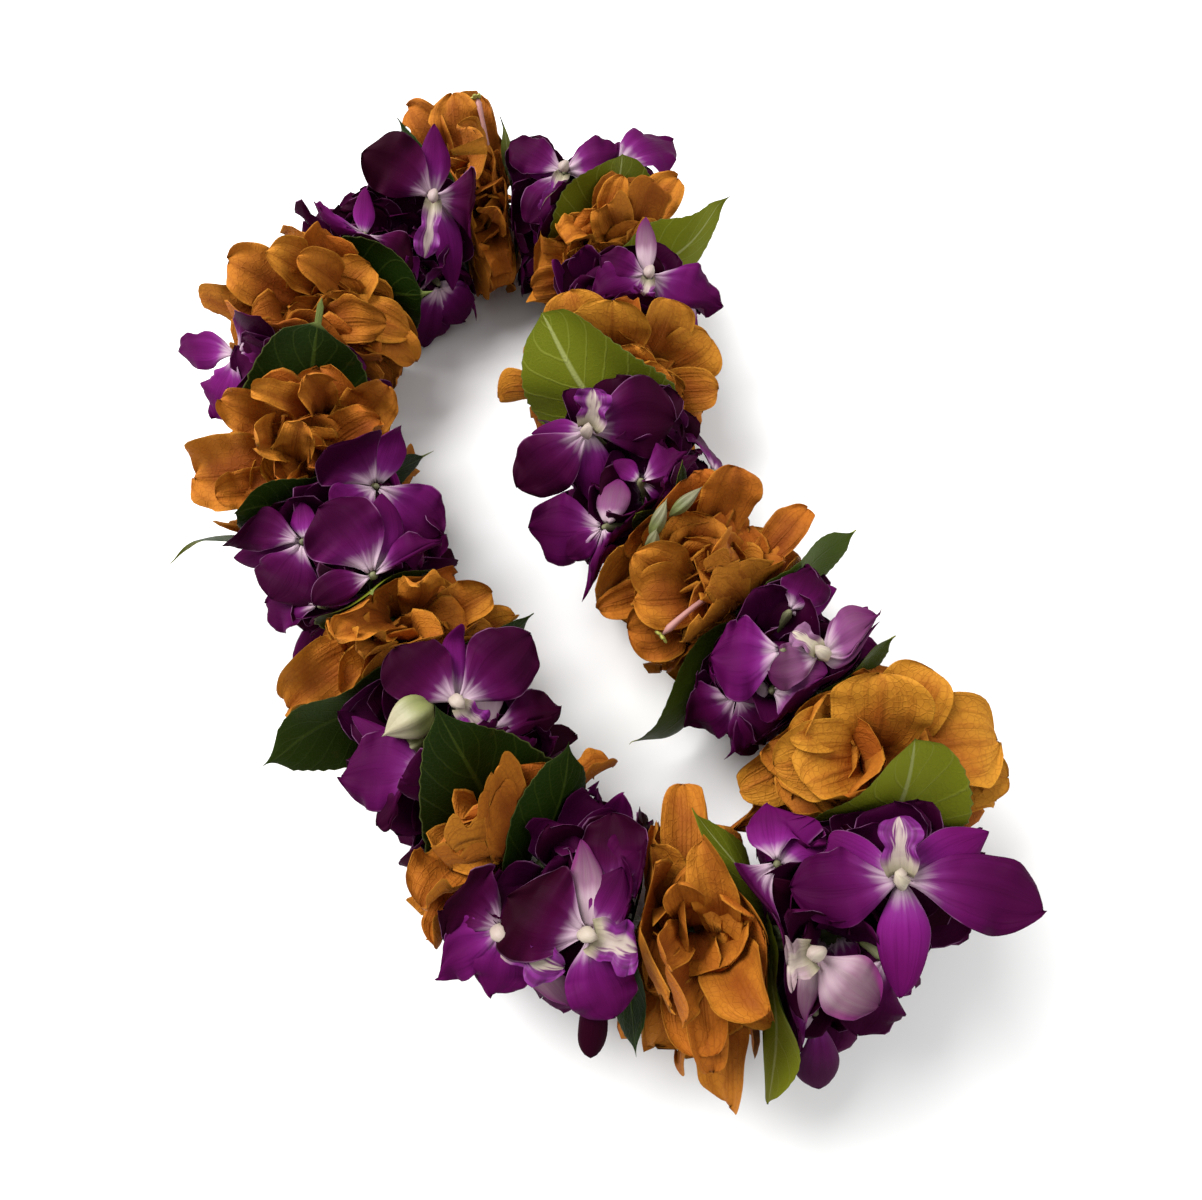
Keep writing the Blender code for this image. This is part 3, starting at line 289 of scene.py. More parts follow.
# %% The clusters
CLUSTERS = [
    Cluster("bracts_1", (
        Bract(-10, 30, -15, 38, 50, 25), Bract(-5, 26, -3, 30, 50, 26), Bract(3, 32, 8, 36, 47, 34),
        Bract(8, 5, -10, -2, 43, 28), Bract(4, -70, 13, -55, 42, 20), Bract(0, -85, -6, -108, 42, 20),
        Bract(8, -88, 20, -94, 44, 24), Tube(8, 4, 6, 22, 49),
    )),
    Cluster("orchids_1", (
        Orchid(8, -10, 33, 15, -15, (petal(40, 28, 32), petal(180, 28, 22), sepal(80, 23, 11),
            sepal(-165, 22, 12), petal(-95, 30, 24), lip(-80, 23, 18))),
        Orchid(16, 40, 33, 16, -20, (petal(95, 50, 34), petal(45, 24, 24), sepal(130, 26, 9))),
    )),
    Cluster("bracts_2", (
        Bract(-4, -20, 10, -45, 34, 22), Bract(-2, -10, -2, 8, 43, 16), Bract(4, 30, 7, 24, 43, 22),
        Bract(-6, 58, -7, 54, 45, 20), Bract(3, -75, -26, -95, 42, 34), Bract(6, -95, 10, -88, 42, 18),
        Bract(4, 5, 8, -6, 40, 20),
    )),
    Cluster("orchids_2", (
        Orchid(9, 15, 35, 32, -11, (sepal(-175, 25, 10), petal(-110, 21, 18), petal(70, 34, 36),
            petal(-60, 24, 28), lip(-10, 18, 16))),
        Orchid(-3, 80, 32, 5, -5, (petal(60, 32, 28), petal(-40, 30, 24), sepal(160, 28, 12))),
    )),
    Cluster("bracts_3", (
        Bract(-8, -50, -18, -30, 42, 28), Bract(-5, -80, -10, -70, 42, 26),
        Bract(-4, -15, -8, -6, 42, 32), Bract(-6, 50, -14, 28, 42, 24), Bract(-4, 80, -8, 60, 43, 26),
        Bract(4, 88, 9, 76, 42, 20), Bract(8, -84, 14, -92, 50, 24),
    )),
    Cluster("orchids_3", (
        Orchid(-6, -29, 36, 33, 18, (sepal(-15, 28, 18), petal(-70, 35, 30), petal(80, 34, 38),
            lip(150, 16, 26), sepal(-105, 22, 10))),
        Orchid(24, -53, 32, 15, 21, (petal(-130, 32, 34), sepal(-45, 33, 11), petal(-25, 28, 22),
            petal(-95, 19, 16), sepal(130, 19, 16))),
        Orchid(18, -12, 30, 14, -3, (petal(80, 20, 30), sepal(35, 18, 11), sepal(-160, 14, 9))),
        Orchid(20, 62, 32, 2, -5, (petal(60, 30, 28), petal(150, 28, 26), sepal(10, 28, 14))),
    )),
    Cluster("bracts_4", (
        Bract(-9, 45, -17, 32, 45, 24), Bract(8, 50, 8, -12, 42, 24), Bract(14, 55, 16, -18, 38, 22),
        Bract(11, 62, 10, 60, 47, 16), Bract(2, -45, -12, -36, 42, 24), Bract(8, -40, -2, -56, 42, 26),
        Bract(10, -85, 2, -76, 42, 26), Bract(-9, -98, -13, -84, 42, 16), Tube(12, -20, 13, -62, 40),
    )),
    Cluster("orchids_4", (
        Orchid(11, -2, 35, 5, -13, (petal(75, 24, 32), sepal(45, 26, 13), sepal(100, 24, 14),
            petal(-115, 18, 20), lip(-165, 12, 16))),
        Orchid(2, -17, 35, 8, -4, (petal(-130, 24, 36),)),
        Orchid(9, -40, 30, 5, 8, (sepal(-140, 18, 12), petal(20, 16, 18), petal(55, 20, 26))),
        Orchid(1, -66, 29, 4, 18, (petal(-110, 26, 30), petal(-10, 24, 30), sepal(-55, 30, 10))),
        Orchid(-9, 9, 28, 4, -10, (petal(115, 20, 24), sepal(80, 22, 13))),
    )),
    Cluster("bracts_5", (
        Bract(0, 11, -15, 12, 44, 34), Bract(-4, 50, -9, 40, 44, 26), Bract(3, 24, 9, 60, 46, 36),
        Bract(12, 66, 15, 68, 45, 24), Bract(-12, -8, -17, -40, 42, 16), Bract(0, -2, -12, -54, 42, 28),
        Bract(3, -16, 12, -48, 38, 32), Bract(-10, -98, -14, -93, 42, 22), Bract(15, 88, 18, 90, 42, 20),
    )),
    Cluster("orchids_5", (
        Orchid(-8, 1, 38, 16, -10, (petal(-50, 33, 30), petal(110, 39, 28), sepal(30, 34, 17),
            sepal(-85, 31, 16), sepal(150, 30, 16), lip(-150, 18, 24))),
        Orchid(23, 12, 34, 10, -8, (petal(135, 22, 24), lip(5, 18, 26), sepal(65, 20, 10))),
        Orchid(30, -38, 33, 7, 28, (petal(38, 34, 28), petal(-84, 20, 20), sepal(-136, 20, 15))),
        Orchid(6, 29, 30, 5, -10, (petal(45, 24, 28), sepal(100, 16, 14))),
        Orchid(22, 60, 28, 5, -21, (sepal(93, 34, 17), petal(20, 24, 24))),
        Orchid(-14, -60, 28, 5, 15, (sepal(-110, 32, 14), petal(-80, 36, 22))),
    )),
    Cluster("bracts_6", (
        Bract(7, -55, 14, -76, 46, 22), Bract(-6, 0, 4, -33, 42, 20), Bract(6, -12, 12, -12, 40, 16),
        Bract(5, 8, 15, 20, 42, 16), Bract(1, 34, 12, 36, 45, 22), Bract(0, 70, -2, 56, 44, 26),
        Bract(2, 14, -5, 62, 45, 16), Bract(-7, 20, -14, 34, 45, 28), Bract(-9, 85, -12, 88, 49, 22),
    )),
    Cluster("orchids_6", (
        Orchid(10, 45, 34, -5, -26, (petal(5, 28, 34), petal(55, 26, 26), petal(115, 20, 26),
            lip(-175, 22, 22), sepal(165, 31, 15))),
        Orchid(-10, 21, 36, -2, -15, (petal(-5, 26, 38), sepal(-60, 28, 12), lip(-170, 16, 28),
            petal(130, 24, 26), sepal(-95, 22, 18), sepal(115, 34, 10))),
        Orchid(-11, 0, 28, 0, 0, (petal(-120, 24, 34), petal(-70, 26, 30))),
        Orchid(-14, 85, 27, 0, -20, (sepal(110, 28, 12), petal(60, 26, 24))),
    )),
    Cluster("bracts_7", (
        Bract(-3, 15, -2, 32, 39, 24), Bract(0, 40, -2, -2, 38, 14), Bract(-4, -15, -14, -10, 34, 20),
        Bract(-8, -6, -9, 24, 40, 22), Bract(3, 70, -2, 54, 44, 24), Bract(-5, 88, -9, 72, 43, 20),
        Bract(-6, -80, -16, -84, 42, 20),
    )),
    Cluster("orchids_7", (
        Orchid(1, -14, 35, -18, 13, (petal(20, 29, 29), petal(-75, 34, 31), sepal(-20, 34, 9),
            lip(-165, 12, 18))),
        Orchid(-10, -28, 30, -14, 19, (petal(-112, 26, 32), sepal(-35, 23, 11))),
        Orchid(-15, 17, 32, -9, -9, (petal(52, 31, 32), sepal(22, 36, 10), petal(100, 24, 22))),
    )),
    Cluster("bracts_8", (
        Bract(5, -10, -3, 24, 42, 24), Bract(-4, 11, -12, 20, 37, 20), Bract(0, 40, -8, 72, 46, 28),
        Bract(6, -55, 0, -22, 42, 18), Bract(0, -75, -7, -62, 43, 20), Bract(-9, -85, -12, -86, 43, 18),
    )),
    Cluster("orchids_8", (
        Orchid(-31, -5, 36, -26, 4, (petal(10, 30, 36), sepal(-30, 30, 18), petal(-100, 26, 34),
            petal(95, 22, 18))),
        Orchid(6, -33, 36, -32, 30, (petal(25, 28, 36), sepal(-40, 27, 18), petal(-150, 30, 28),
            petal(115, 18, 26))),
        Orchid(0, 27, 31, -14, -11, (petal(40, 32, 24), sepal(65, 30, 13), sepal(-25, 16, 11),
            petal(120, 24, 34))),
        Orchid(-22, 47, 27, -9, -13, (petal(50, 26, 26),)),
    )),
    Cluster("bracts_9", (
        Bract(-7, 42, 0, 74, 46, 34), Bract(8, 20, 11, 34, 44, 20), Bract(2, 21, -12, 22, 39, 22),
        Bract(-9, 28, -11, -5, 43, 16), Bract(13, -26, 9, 14, 44, 16), Bract(14, -40, 11, -14, 43, 18),
        Bract(12, -72, 15, -62, 43, 24), Bract(-7, 80, -14, 62, 42, 18), Bract(-4, -30, -8, -48, 42, 22),
    )),
    Cluster("orchids_9", (
        Orchid(12, 60, 31, -26, -34, (petal(70, 34, 22), petal(135, 30, 28), petal(-95, 16, 18),
            sepal(155, 30, 10), petal(-60, 28, 24))),
    )),
    Cluster("bracts_10", (
        Bract(11, -12, 1, 15, 43, 22), Bract(0, 12, -1, 38, 46, 26), Bract(-6, 58, -12, 60, 47, 22),
        Bract(14, -48, 0, -4, 43, 18), Bract(4, -25, 3, -86, 42, 20), Bract(4, -60, -14, -98, 44, 22),
        Bract(14, -74, 9, -100, 42, 20), Bract(-8, -30, -14, -62, 42, 22),
    )),
    Cluster("orchids_10", (
        Orchid(19, -30, 36, -14, -15, (sepal(60, 30, 15), petal(120, 34, 34), petal(-25, 33, 34),
            sepal(-105, 40, 15), lip(-125, 26, 20))),
        Orchid(-25, -25, 34, -20, -11, (petal(-75, 24, 32), petal(140, 26, 28), sepal(35, 22, 10))),
        Orchid(5, -100, 30, -13, 30, (sepal(-50, 34, 12), petal(-80, 24, 26), petal(-125, 32, 28))),
    )),
]

print("clusters:", len(CLUSTERS), "with", sum(len(cluster.blooms) for cluster in CLUSTERS), "blooms")

# %% The leaves
# The surface it lies in, its angle around the thread, its length to tip and to tail, its width and slot
LEAF_ROWS = [
    (0, 37, 47, 34, 36, 0), (1, 30, 39, 26, 30, 0), (2, 28, 39, 24, 58, 0), (3, 60, 60, 18, 40, 1),
    (5, -46, 47, 26, 64, 0), (6, -26, 40, 6, 15, -1), (6, 12, 40, 6, 15, 1), (7, 68, 54, 6, 36, 1),
    (7, -102, 64, 6, 44, -1), (8, 46, 39, 22, 34, 0), (9, 6, 44, 30, 53, 0), (10, -50, 44, 8, 34, 1),
    (10, 86, 48, 8, 38, -1), (11, 62, 45, 20, 26, 0), (12, -45, 45, 24, 44, 0),
    (13, -2, 50, 28, 54, -0.7), (14, 78, 60, 12, 44, 1), (14, -82, 50, 8, 32, -1),
    (15, 0, 42, 26, 48, 0), (16, 84, 64, 6, 24, -1.5), (16, 38, 49, 3, 40, 0),
    (16, -92, 48, 3, 26, 1.5), (17, -22, 48, 28, 52, 0), (19, -76, 52, 30, 56, 0),
    (4, -150, 34, 26, 34, 0),
]
LEAVES = [Leaf(f"leaf_{number:02d}", *row) for number, row in enumerate(LEAF_ROWS, 1)]
print("leaves:", len(LEAVES))

# %% [markdown]
# ## One way to make every blade
# Petals, sepals, lips, bracts and leaves are all thin blades with a midline, an outline and some
# curl. One function makes them: it lays a grid over the outline, bends it round the midline, ripples
# the rim and gives it a real thickness that comes to an edge. A grid that is closer at the rim
# keeps the edge crisp. Each vertex also keeps what the finish needs: how far along and across the
# blade it is, which side it is on, and a tone of its own.

# %% Outlines and curls
Form = namedtuple(
    "Form", "peak base rise blunt tip curl twist ruffle waves crease crumple rows columns thick waist",
    defaults=(0.9, 0.0))
FORMS = {
    "petal": Form(0.58, 0.11, 1.35, 2.5, 0.68, (0.15, 0.50), 0.22, 0.12, 2.2, 0.07, 0.06, 22, 17, 1.0),
    "sepal": Form(0.48, 0.24, 1.0, 1.8, 0.85, (0.50, 0.40), 0.35, 0.07, 1.6, 0.09, 0.04, 18, 11, 1.0),
    "club": Form(0.78, 0.16, 1.8, 2.6, 0.48, (0.70, 1.00), 0.15, 0.04, 1.2, 0.06, 0.03, 20, 13, 1.1),
    "lip": Form(0.66, 0.62, 0.8, 2.2, 0.62, (-1.15, -0.45), 0.0, 0.22, 3.0, 0.05, 0.05, 20, 17, 0.9, 0.34),
    "bract": Form(0.70, 0.07, 1.5, 2.3, 0.58, (0.25, 0.65), 0.45, 0.15, 2.0, 0.05, 0.11, 26, 17),
    "smooth bract": Form(0.68, 0.09, 1.4, 2.6, 0.54, (0.20, 0.45), 0.25, 0.09, 1.6, 0.04, 0.045, 26, 17),
    "twisted bract": Form(0.66, 0.12, 1.3, 3.2, 0.46, (0.55, 1.00), 0.60, 0.13, 1.7, 0.05, 0.09, 26, 17),
    "wavy bract": Form(0.68, 0.08, 1.4, 2.5, 0.54, (0.35, 1.05), 0.55, 0.24, 2.3, 0.05, 0.10, 30, 19),
    "filler": Form(0.66, 0.10, 1.4, 2.4, 0.58, (0.30, 0.80), 0.60, 0.16, 1.6, 0.05, 0.09, 11, 9, 0.8),
    "leaf": Form(0.40, 0.07, 0.80, 1.5, 1.0, (0.05, 0.05), 0.0, 0.0, 1.0, 0.04, 0.0, 40, 21, 0.8),
}
FORMS["round leaf"] = FORMS["leaf"]._replace(peak=0.50, rise=0.50, blunt=2.0, tip=0.50)
# How far short of its neighbours' room each kind of blade may stop
INSET = {"petal": 1.6, "sepal": 2.0, "club": 2.0, "lip": 1.0, "bract": 1.3, "smooth bract": 1.3,
         "twisted bract": 1.3, "wavy bract": 1.0, "filler": 0.15}
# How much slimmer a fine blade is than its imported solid
SLIM = {"petal": 0.84, "sepal": 0.95, "lip": 0.62, "twisted bract": 0.88}
WAIST_AT, WAIST_SPREAD, TIP_LEFT = 0.46, 0.12, 0.03
TIP_CROWDING = 1.35


def half_width(form, u):
    """Half the width of a blade at places along it, as a share of its widest."""
    pinch = 1 - form.waist * np.exp(-(((u - WAIST_AT) / WAIST_SPREAD) ** 2))
    rising = form.base + (1 - form.base) * np.sin(np.pi / 2 * np.clip(u / form.peak, 0, 1)) ** form.rise
    past = np.clip((u - form.peak) / (1 - form.peak), 0, 1)
    falling = (1 - past**form.blunt) ** form.tip * (1 - TIP_LEFT) + TIP_LEFT
    return pinch * np.where(u < form.peak, rising, falling)


def blade_grid(form):
    """Places along and across a blade, closer together towards its tip and its rims."""
    along = 1 - (1 - np.linspace(0, 1, form.rows)) ** TIP_CROWDING
    across = np.sin(np.pi / 2 * np.linspace(-1, 1, form.columns))
    return np.meshgrid(along, across, indexing="ij")


print("forms of blade:", ", ".join(FORMS))


# %% A piece in the making
def add_object(name, data):
    """An object in the scene for a mesh, a lamp or a camera."""
    item = bpy.data.objects.new(name, data)
    bpy.context.scene.collection.objects.link(item)
    return item


class Piece:
    """Gathers the vertices and faces of one piece, with what its finish reads, then makes its mesh."""

    MARKS = ("tone", "under", "pale")

    def __init__(self, name):
        self.name = name
        self.points, self.faces, self.plan, self.marks = [], [], [], []
        self.count = 0

    def add(self, points, faces, plan, marks):
        """Adds vertices in millimetres, faces of their numbers, (u, v) and marks for each vertex."""
        self.points.append(points)
        self.plan.append(plan)
        self.marks.append(marks)
        self.faces += [tuple(index + self.count for index in face) for face in faces]
        self.count += len(points)

    def make(self, finish, slot, node):
        """Makes the mesh object, ties it to the root body and to its finish, and hides its node's solid.
        """
        mesh = bpy.data.meshes.new(self.name)
        mesh.from_pydata((np.concatenate(self.points) * MM).tolist(), [], self.faces)
        plan, marks = np.concatenate(self.plan), np.concatenate(self.marks)
        corners = np.empty(len(mesh.loops), np.int32)
        mesh.loops.foreach_get("vertex_index", corners)
        layer = mesh.uv_layers.new(name="blade")
        layer.data.foreach_set("uv", plan[corners].astype(np.float32).ravel())
        for order, name in enumerate(self.MARKS):
            mark = mesh.attributes.new(name, "FLOAT", "POINT")
            mark.data.foreach_set("value", marks[:, order].astype(np.float32))
        mesh.polygons.foreach_set("use_smooth", [True] * len(mesh.polygons))
        mesh.materials.append(finish)
        mesh.update()
        item = add_object(self.name, mesh)
        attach(item, "root")
        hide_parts(node)
        return item


def ring_faces(rows, sides):
    """Faces of a tube that closes on itself both ways."""
    corners = ((0, 0), (0, 1), (1, 1), (1, 0))
    return [tuple((row + down) % rows * sides + (step + right) % sides for down, right in corners)
            for row in range(rows) for step in range(sides)]


print("every piece keeps the marks", ", ".join(Piece.MARKS))

# %% A thin closed blade
# How thin a blade gets towards its rim, its tip and its root
RIM_POWER, TIP_POWER, ROOT_THICK, ROOT_GROWTH = 5, 12, 0.3, 6
RIM_MARK, UNDER_MARK = 0.5, 1.0


def closed_blade(grid, u, v, facing, thick, tone, pale):
    """Vertices, faces, plan and marks of a thin closed blade round a grid of middle points."""
    rows, columns = u.shape
    along = np.gradient(grid, axis=0)
    across = np.gradient(grid, axis=1)
    normal = np.cross(along, across)
    normal /= np.maximum(np.linalg.norm(normal, axis=2), 1e-9)[..., None]
    turned = (normal * facing).sum() < 0
    if turned:
        normal = -normal
    body = (1 - np.abs(v) ** RIM_POWER) * (1 - u**TIP_POWER) * np.minimum(1, ROOT_THICK + ROOT_GROWTH * u)
    offset = normal * (thick / 2 * body)[..., None]
    top = grid + offset
    low = (grid - offset)[1:-1, 1:-1]
    number = np.arange(rows * columns).reshape(rows, columns)
    under = number.copy()
    inside = under[1:-1, 1:-1]
    inside[:] = rows * columns + np.arange(inside.size).reshape(inside.shape)
    faces = []
    for sheet, flip in ((number, turned), (under, not turned)):
        a, b, c, d = sheet[:-1, :-1], sheet[1:, :-1], sheet[1:, 1:], sheet[:-1, 1:]
        quads = np.stack([a, d, c, b] if flip else [a, b, c, d], -1).reshape(-1, 4)
        faces += [tuple(quad) for quad in quads.tolist()]
    points = np.vstack([top.reshape(-1, 3), low.reshape(-1, 3)])
    plan = np.stack([u, (v + 1) / 2], -1)
    plan = np.vstack([plan.reshape(-1, 2), plan[1:-1, 1:-1].reshape(-1, 2)])
    marks = np.full((len(points), 3), (tone, 0.0, pale))
    rim = np.ones((rows, columns), bool)
    rim[1:-1, 1:-1] = False
    marks[:rows * columns, 1][rim.ravel()] = RIM_MARK
    marks[rows * columns:, 1] = UNDER_MARK
    return points, faces, plan, marks


print("a blade is thinner towards its rim, its tip and its root")

# %% Petals, sepals, lips and bracts
LEAST_CURL = 1e-3
CREASE_SPREAD = 0.16
MOST_SKEW = 0.09


def phase(draw, most=6.0):
    """Where a wave starts."""
    return draw.uniform(0, most)


def blade(kind, spine, width, across, facing, draw, number, pale=0.0, tone=None):
    """One petal, sepal, lip or bract: outline laid along a spine, curled, rippled and settled."""
    form = FORMS[kind]
    u, v = blade_grid(form)
    form = form._replace(
        peak=form.peak + draw.uniform(-0.06, 0.05), tip=form.tip * draw.uniform(0.85, 1.25),
        ruffle=form.ruffle * draw.uniform(0.6, 1.5), waves=form.waves * draw.uniform(0.8, 1.3))
    inset = draw.uniform(0.0, INSET[kind])
    width = width * SLIM.get(kind, 1.0)

    # The midline, and which way is across it and up from it
    line = spine(u[:, 0])
    ahead = np.gradient(line, axis=0)
    ahead /= np.linalg.norm(ahead, axis=1)[:, None]
    side = across - ahead * (ahead @ across)[:, None]
    side /= np.linalg.norm(side, axis=1)[:, None]
    up = np.cross(side, ahead)
    turn = (draw.uniform(-form.twist, form.twist) * u[:, 0])[:, None]
    side, up = side * np.cos(turn) + up * np.sin(turn), up * np.cos(turn) - side * np.sin(turn)

    # The outline, a little uneven, wrapped round a curl that changes along the blade
    uneven = 1 + 0.05 * np.sin(5 * u + phase(draw)) * v + 0.03 * np.sin(11 * u + phase(draw))
    half = width / 2 * half_width(form, u) * uneven
    curl = form.curl[0] + (form.curl[1] - form.curl[0]) * u + LEAST_CURL
    sideways = half * np.sin(curl * v) / curl
    lift = half * (1 - np.cos(curl * v)) / curl

    # Ripples towards the rim, crumples all over, a lean to one side and a crease along the middle
    edge = np.abs(v) ** 2.2 * np.clip(2.2 * u, 0, 1)
    for order in (1.0, 2.3):
        ripple = np.sin(2 * np.pi * form.waves * order * u + phase(draw, 6.3) + 1.3 * np.sign(v))
        lift = lift + width / 2 * form.ruffle / order * edge * ripple
    fold_a, fold_b, skew = phase(draw), phase(draw), draw.uniform(-MOST_SKEW, MOST_SKEW)
    lift = lift + (form.crumple * width / 2 * np.sin(6.5 * u + 3.4 * v + fold_a)
                   * np.sin(3.5 * u - 5.0 * v + fold_b))
    sideways = sideways + skew * width * u * u
    lift = lift + form.crease * width / 2 * np.exp(-((v / CREASE_SPREAD) ** 2)) * np.clip(1.3 - u, 0, 1)

    grid = line[:, None] + side[:, None] * sideways[..., None] + up[:, None] * lift[..., None]
    grid = settle(grid.reshape(-1, 3), number, inset).reshape(grid.shape)
    return closed_blade(grid, u, v, facing, form.thick, draw.random() if tone is None else tone, pale)


print("kinds that may stop short of their room:", len(INSET))

# %% Stalks, tubes, columns and buds
ANY_SIDE = np.array([0.3, 0.5, 0.8])


def arc(start, over, end, count):
    """Points on one even curve from start to end, pulled towards over."""
    steps = np.linspace(0, 1, count)[:, None]
    return start * (1 - steps) ** 2 + 2 * over * steps * (1 - steps) + end * steps**2


def lofted(path, radii, sides, number, tone, pale=0.0, lobes=0, depth=0.0):
    """Rings along a settled path, with a point at each end."""
    path = settle(np.array(path, float), number)
    ahead = np.gradient(path, axis=0)
    ahead /= np.maximum(np.linalg.norm(ahead, axis=1), 1e-9)[:, None]
    side = np.cross(ahead, unit(ANY_SIDE))
    side /= np.maximum(np.linalg.norm(side, axis=1), 1e-9)[:, None]
    up = np.cross(side, ahead)
    turn = np.linspace(0, 2 * np.pi, sides, endpoint=False)
    radius = np.array(radii, float)[:, None] * (1 + depth * np.cos(lobes * turn))[None]
    rings = (path[1:-1, None] + radius[..., None]
             * (side[1:-1, None] * np.cos(turn)[:, None] + up[1:-1, None] * np.sin(turn)[:, None]))
    points = np.vstack([path[:1], rings.reshape(-1, 3), path[-1:]])
    count, end, faces = len(radii), len(points) - 1, []
    for step in range(sides):
        after = (step + 1) % sides
        faces.append((0, 1 + after, 1 + step))
        for ring in range(count - 1):
            a, b = 1 + ring * sides + step, 1 + ring * sides + after
            faces.append((a, b, b + sides, a + sides))
        faces.append((end - sides + step, end - sides + after, end))
    share = np.concatenate([[0], np.repeat(np.linspace(0, 1, count), sides), [1]])
    turned = np.concatenate([[0], np.tile(np.linspace(0, 1, sides), count), [0]])
    return points, faces, np.stack([share, turned], 1), np.full((len(points), 3), (tone, 0.0, pale))


print("stalks, tubes, columns and buds are rings along a line")

# %% [markdown]
# ## Writing shader maths as Python
# A material is a graph of nodes, and long graphs are hard to read when every node is named. Channel
# wraps one socket, and Python's own operators on it add the Math nodes. Finish owns the graph: its
# method node makes any node from its type, its settings and what goes into its sockets, and the rest
# of its methods are the few patterns that the recipes share.

# %% Channel and Finish
class Channel:
    """A socket that Python's operators add Math nodes to."""

    def __init__(self, finish, socket):
        self.finish, self.socket = finish, socket

    def math(self, operation, *values):
        return self.finish.node("ShaderNodeMath", {"operation": operation}, dict(enumerate(values)))

    def __add__(self, other):
        return self.math("ADD", self, other)

    def __mul__(self, other):
        return self.math("MULTIPLY", self, other)

    def __sub__(self, other):
        return self.math("SUBTRACT", self, other)

    def __rsub__(self, other):
        return self.math("SUBTRACT", other, self)

    def __abs__(self):
        return self.math("ABSOLUTE", self)

    __radd__, __rmul__ = __add__, __mul__

    def sine(self):
        return self.math("SINE", self)

    def within(self, low, high):
        """0 below low, 1 above high and smooth between; low above high turns it round."""
        if low > high:
            return 1 - self.within(high, low)
        return self.finish.node("ShaderNodeMapRange", {"interpolation_type": "SMOOTHSTEP"},
                                {"Value": self, "From Min": low, "From Max": high})


class Finish:
    """A material being made, with the channels that its recipe starts from."""

    def __init__(self, name):
        self.material = bpy.data.materials.new(name)
        self.material.use_nodes = True
        self.tree = self.material.node_tree
        self.shader = self.tree.nodes["Principled BSDF"]
        plan = self.node("ShaderNodeUVMap", {"uv_map": "blade"})
        split = self.node("ShaderNodeSeparateXYZ", inputs={0: plan})
        self.along = split
        self.across = Channel(self, split.socket.node.outputs[1])
        self.off_middle = abs(self.across * 2 - 1)
        self.place = self.node("ShaderNodeTexCoord", output="Object")

    def node(self, kind, settings=None, inputs=None, output=0):
        """Makes one node: settings first, then the values or links of its sockets."""
        made = self.tree.nodes.new(kind)
        for name, value in (settings or {}).items():
            setattr(made, name, value)
        for name, value in (inputs or {}).items():
            self.feed(made.inputs[name], value)
        return Channel(self, made.outputs[output])

    def feed(self, socket, value):
        if isinstance(value, Channel):
            self.tree.links.new(value.socket, socket)
        elif isinstance(value, tuple) and socket.type == "RGBA":
            socket.default_value = (*value, 1.0)
        else:
            socket.default_value = value

    def mark(self, name):
        """A value that each vertex carries."""
        return self.node("ShaderNodeAttribute", {"attribute_name": name}, output="Fac")

    def mix(self, share, first, second):
        """The second colour laid over the first by a share."""
        return self.node("ShaderNodeMix", {"data_type": "RGBA"}, {0: share, 6: first, 7: second}, output=2)

    def noise(self, scale, detail=3.0, vector=None, rough=0.5):
        return self.node("ShaderNodeTexNoise", None, {
            "Vector": vector or self.place, "Scale": scale, "Detail": detail, "Roughness": rough})

    def streaks(self, along_scale, across_scale, detail=2.0):
        """Noise drawn out along a blade, so that it runs like veins and meets at the root."""
        spread = self.node("ShaderNodeCombineXYZ", None, {
            0: self.along * along_scale, 1: self.across * across_scale, 2: self.mark("tone") * 9})
        return self.noise(1.0, detail, spread)

    def net(self, scale):
        """Thin lines between small cells, as net veins."""
        cells = self.node("ShaderNodeTexVoronoi", {"feature": "DISTANCE_TO_EDGE"},
                          {"Vector": self.place, "Scale": scale})
        return cells.within(0.10, 0.0)

    def bump(self, height, strength, distance):
        return self.node("ShaderNodeBump", None, {
            "Height": height, "Strength": strength, "Distance": distance})

    def done(self, **sockets):
        """Feeds the shader and gives the material back."""
        for name, value in sockets.items():
            self.feed(self.shader.inputs[name.replace("_", " ")], value)
        return self.material


print("shader helpers ready")
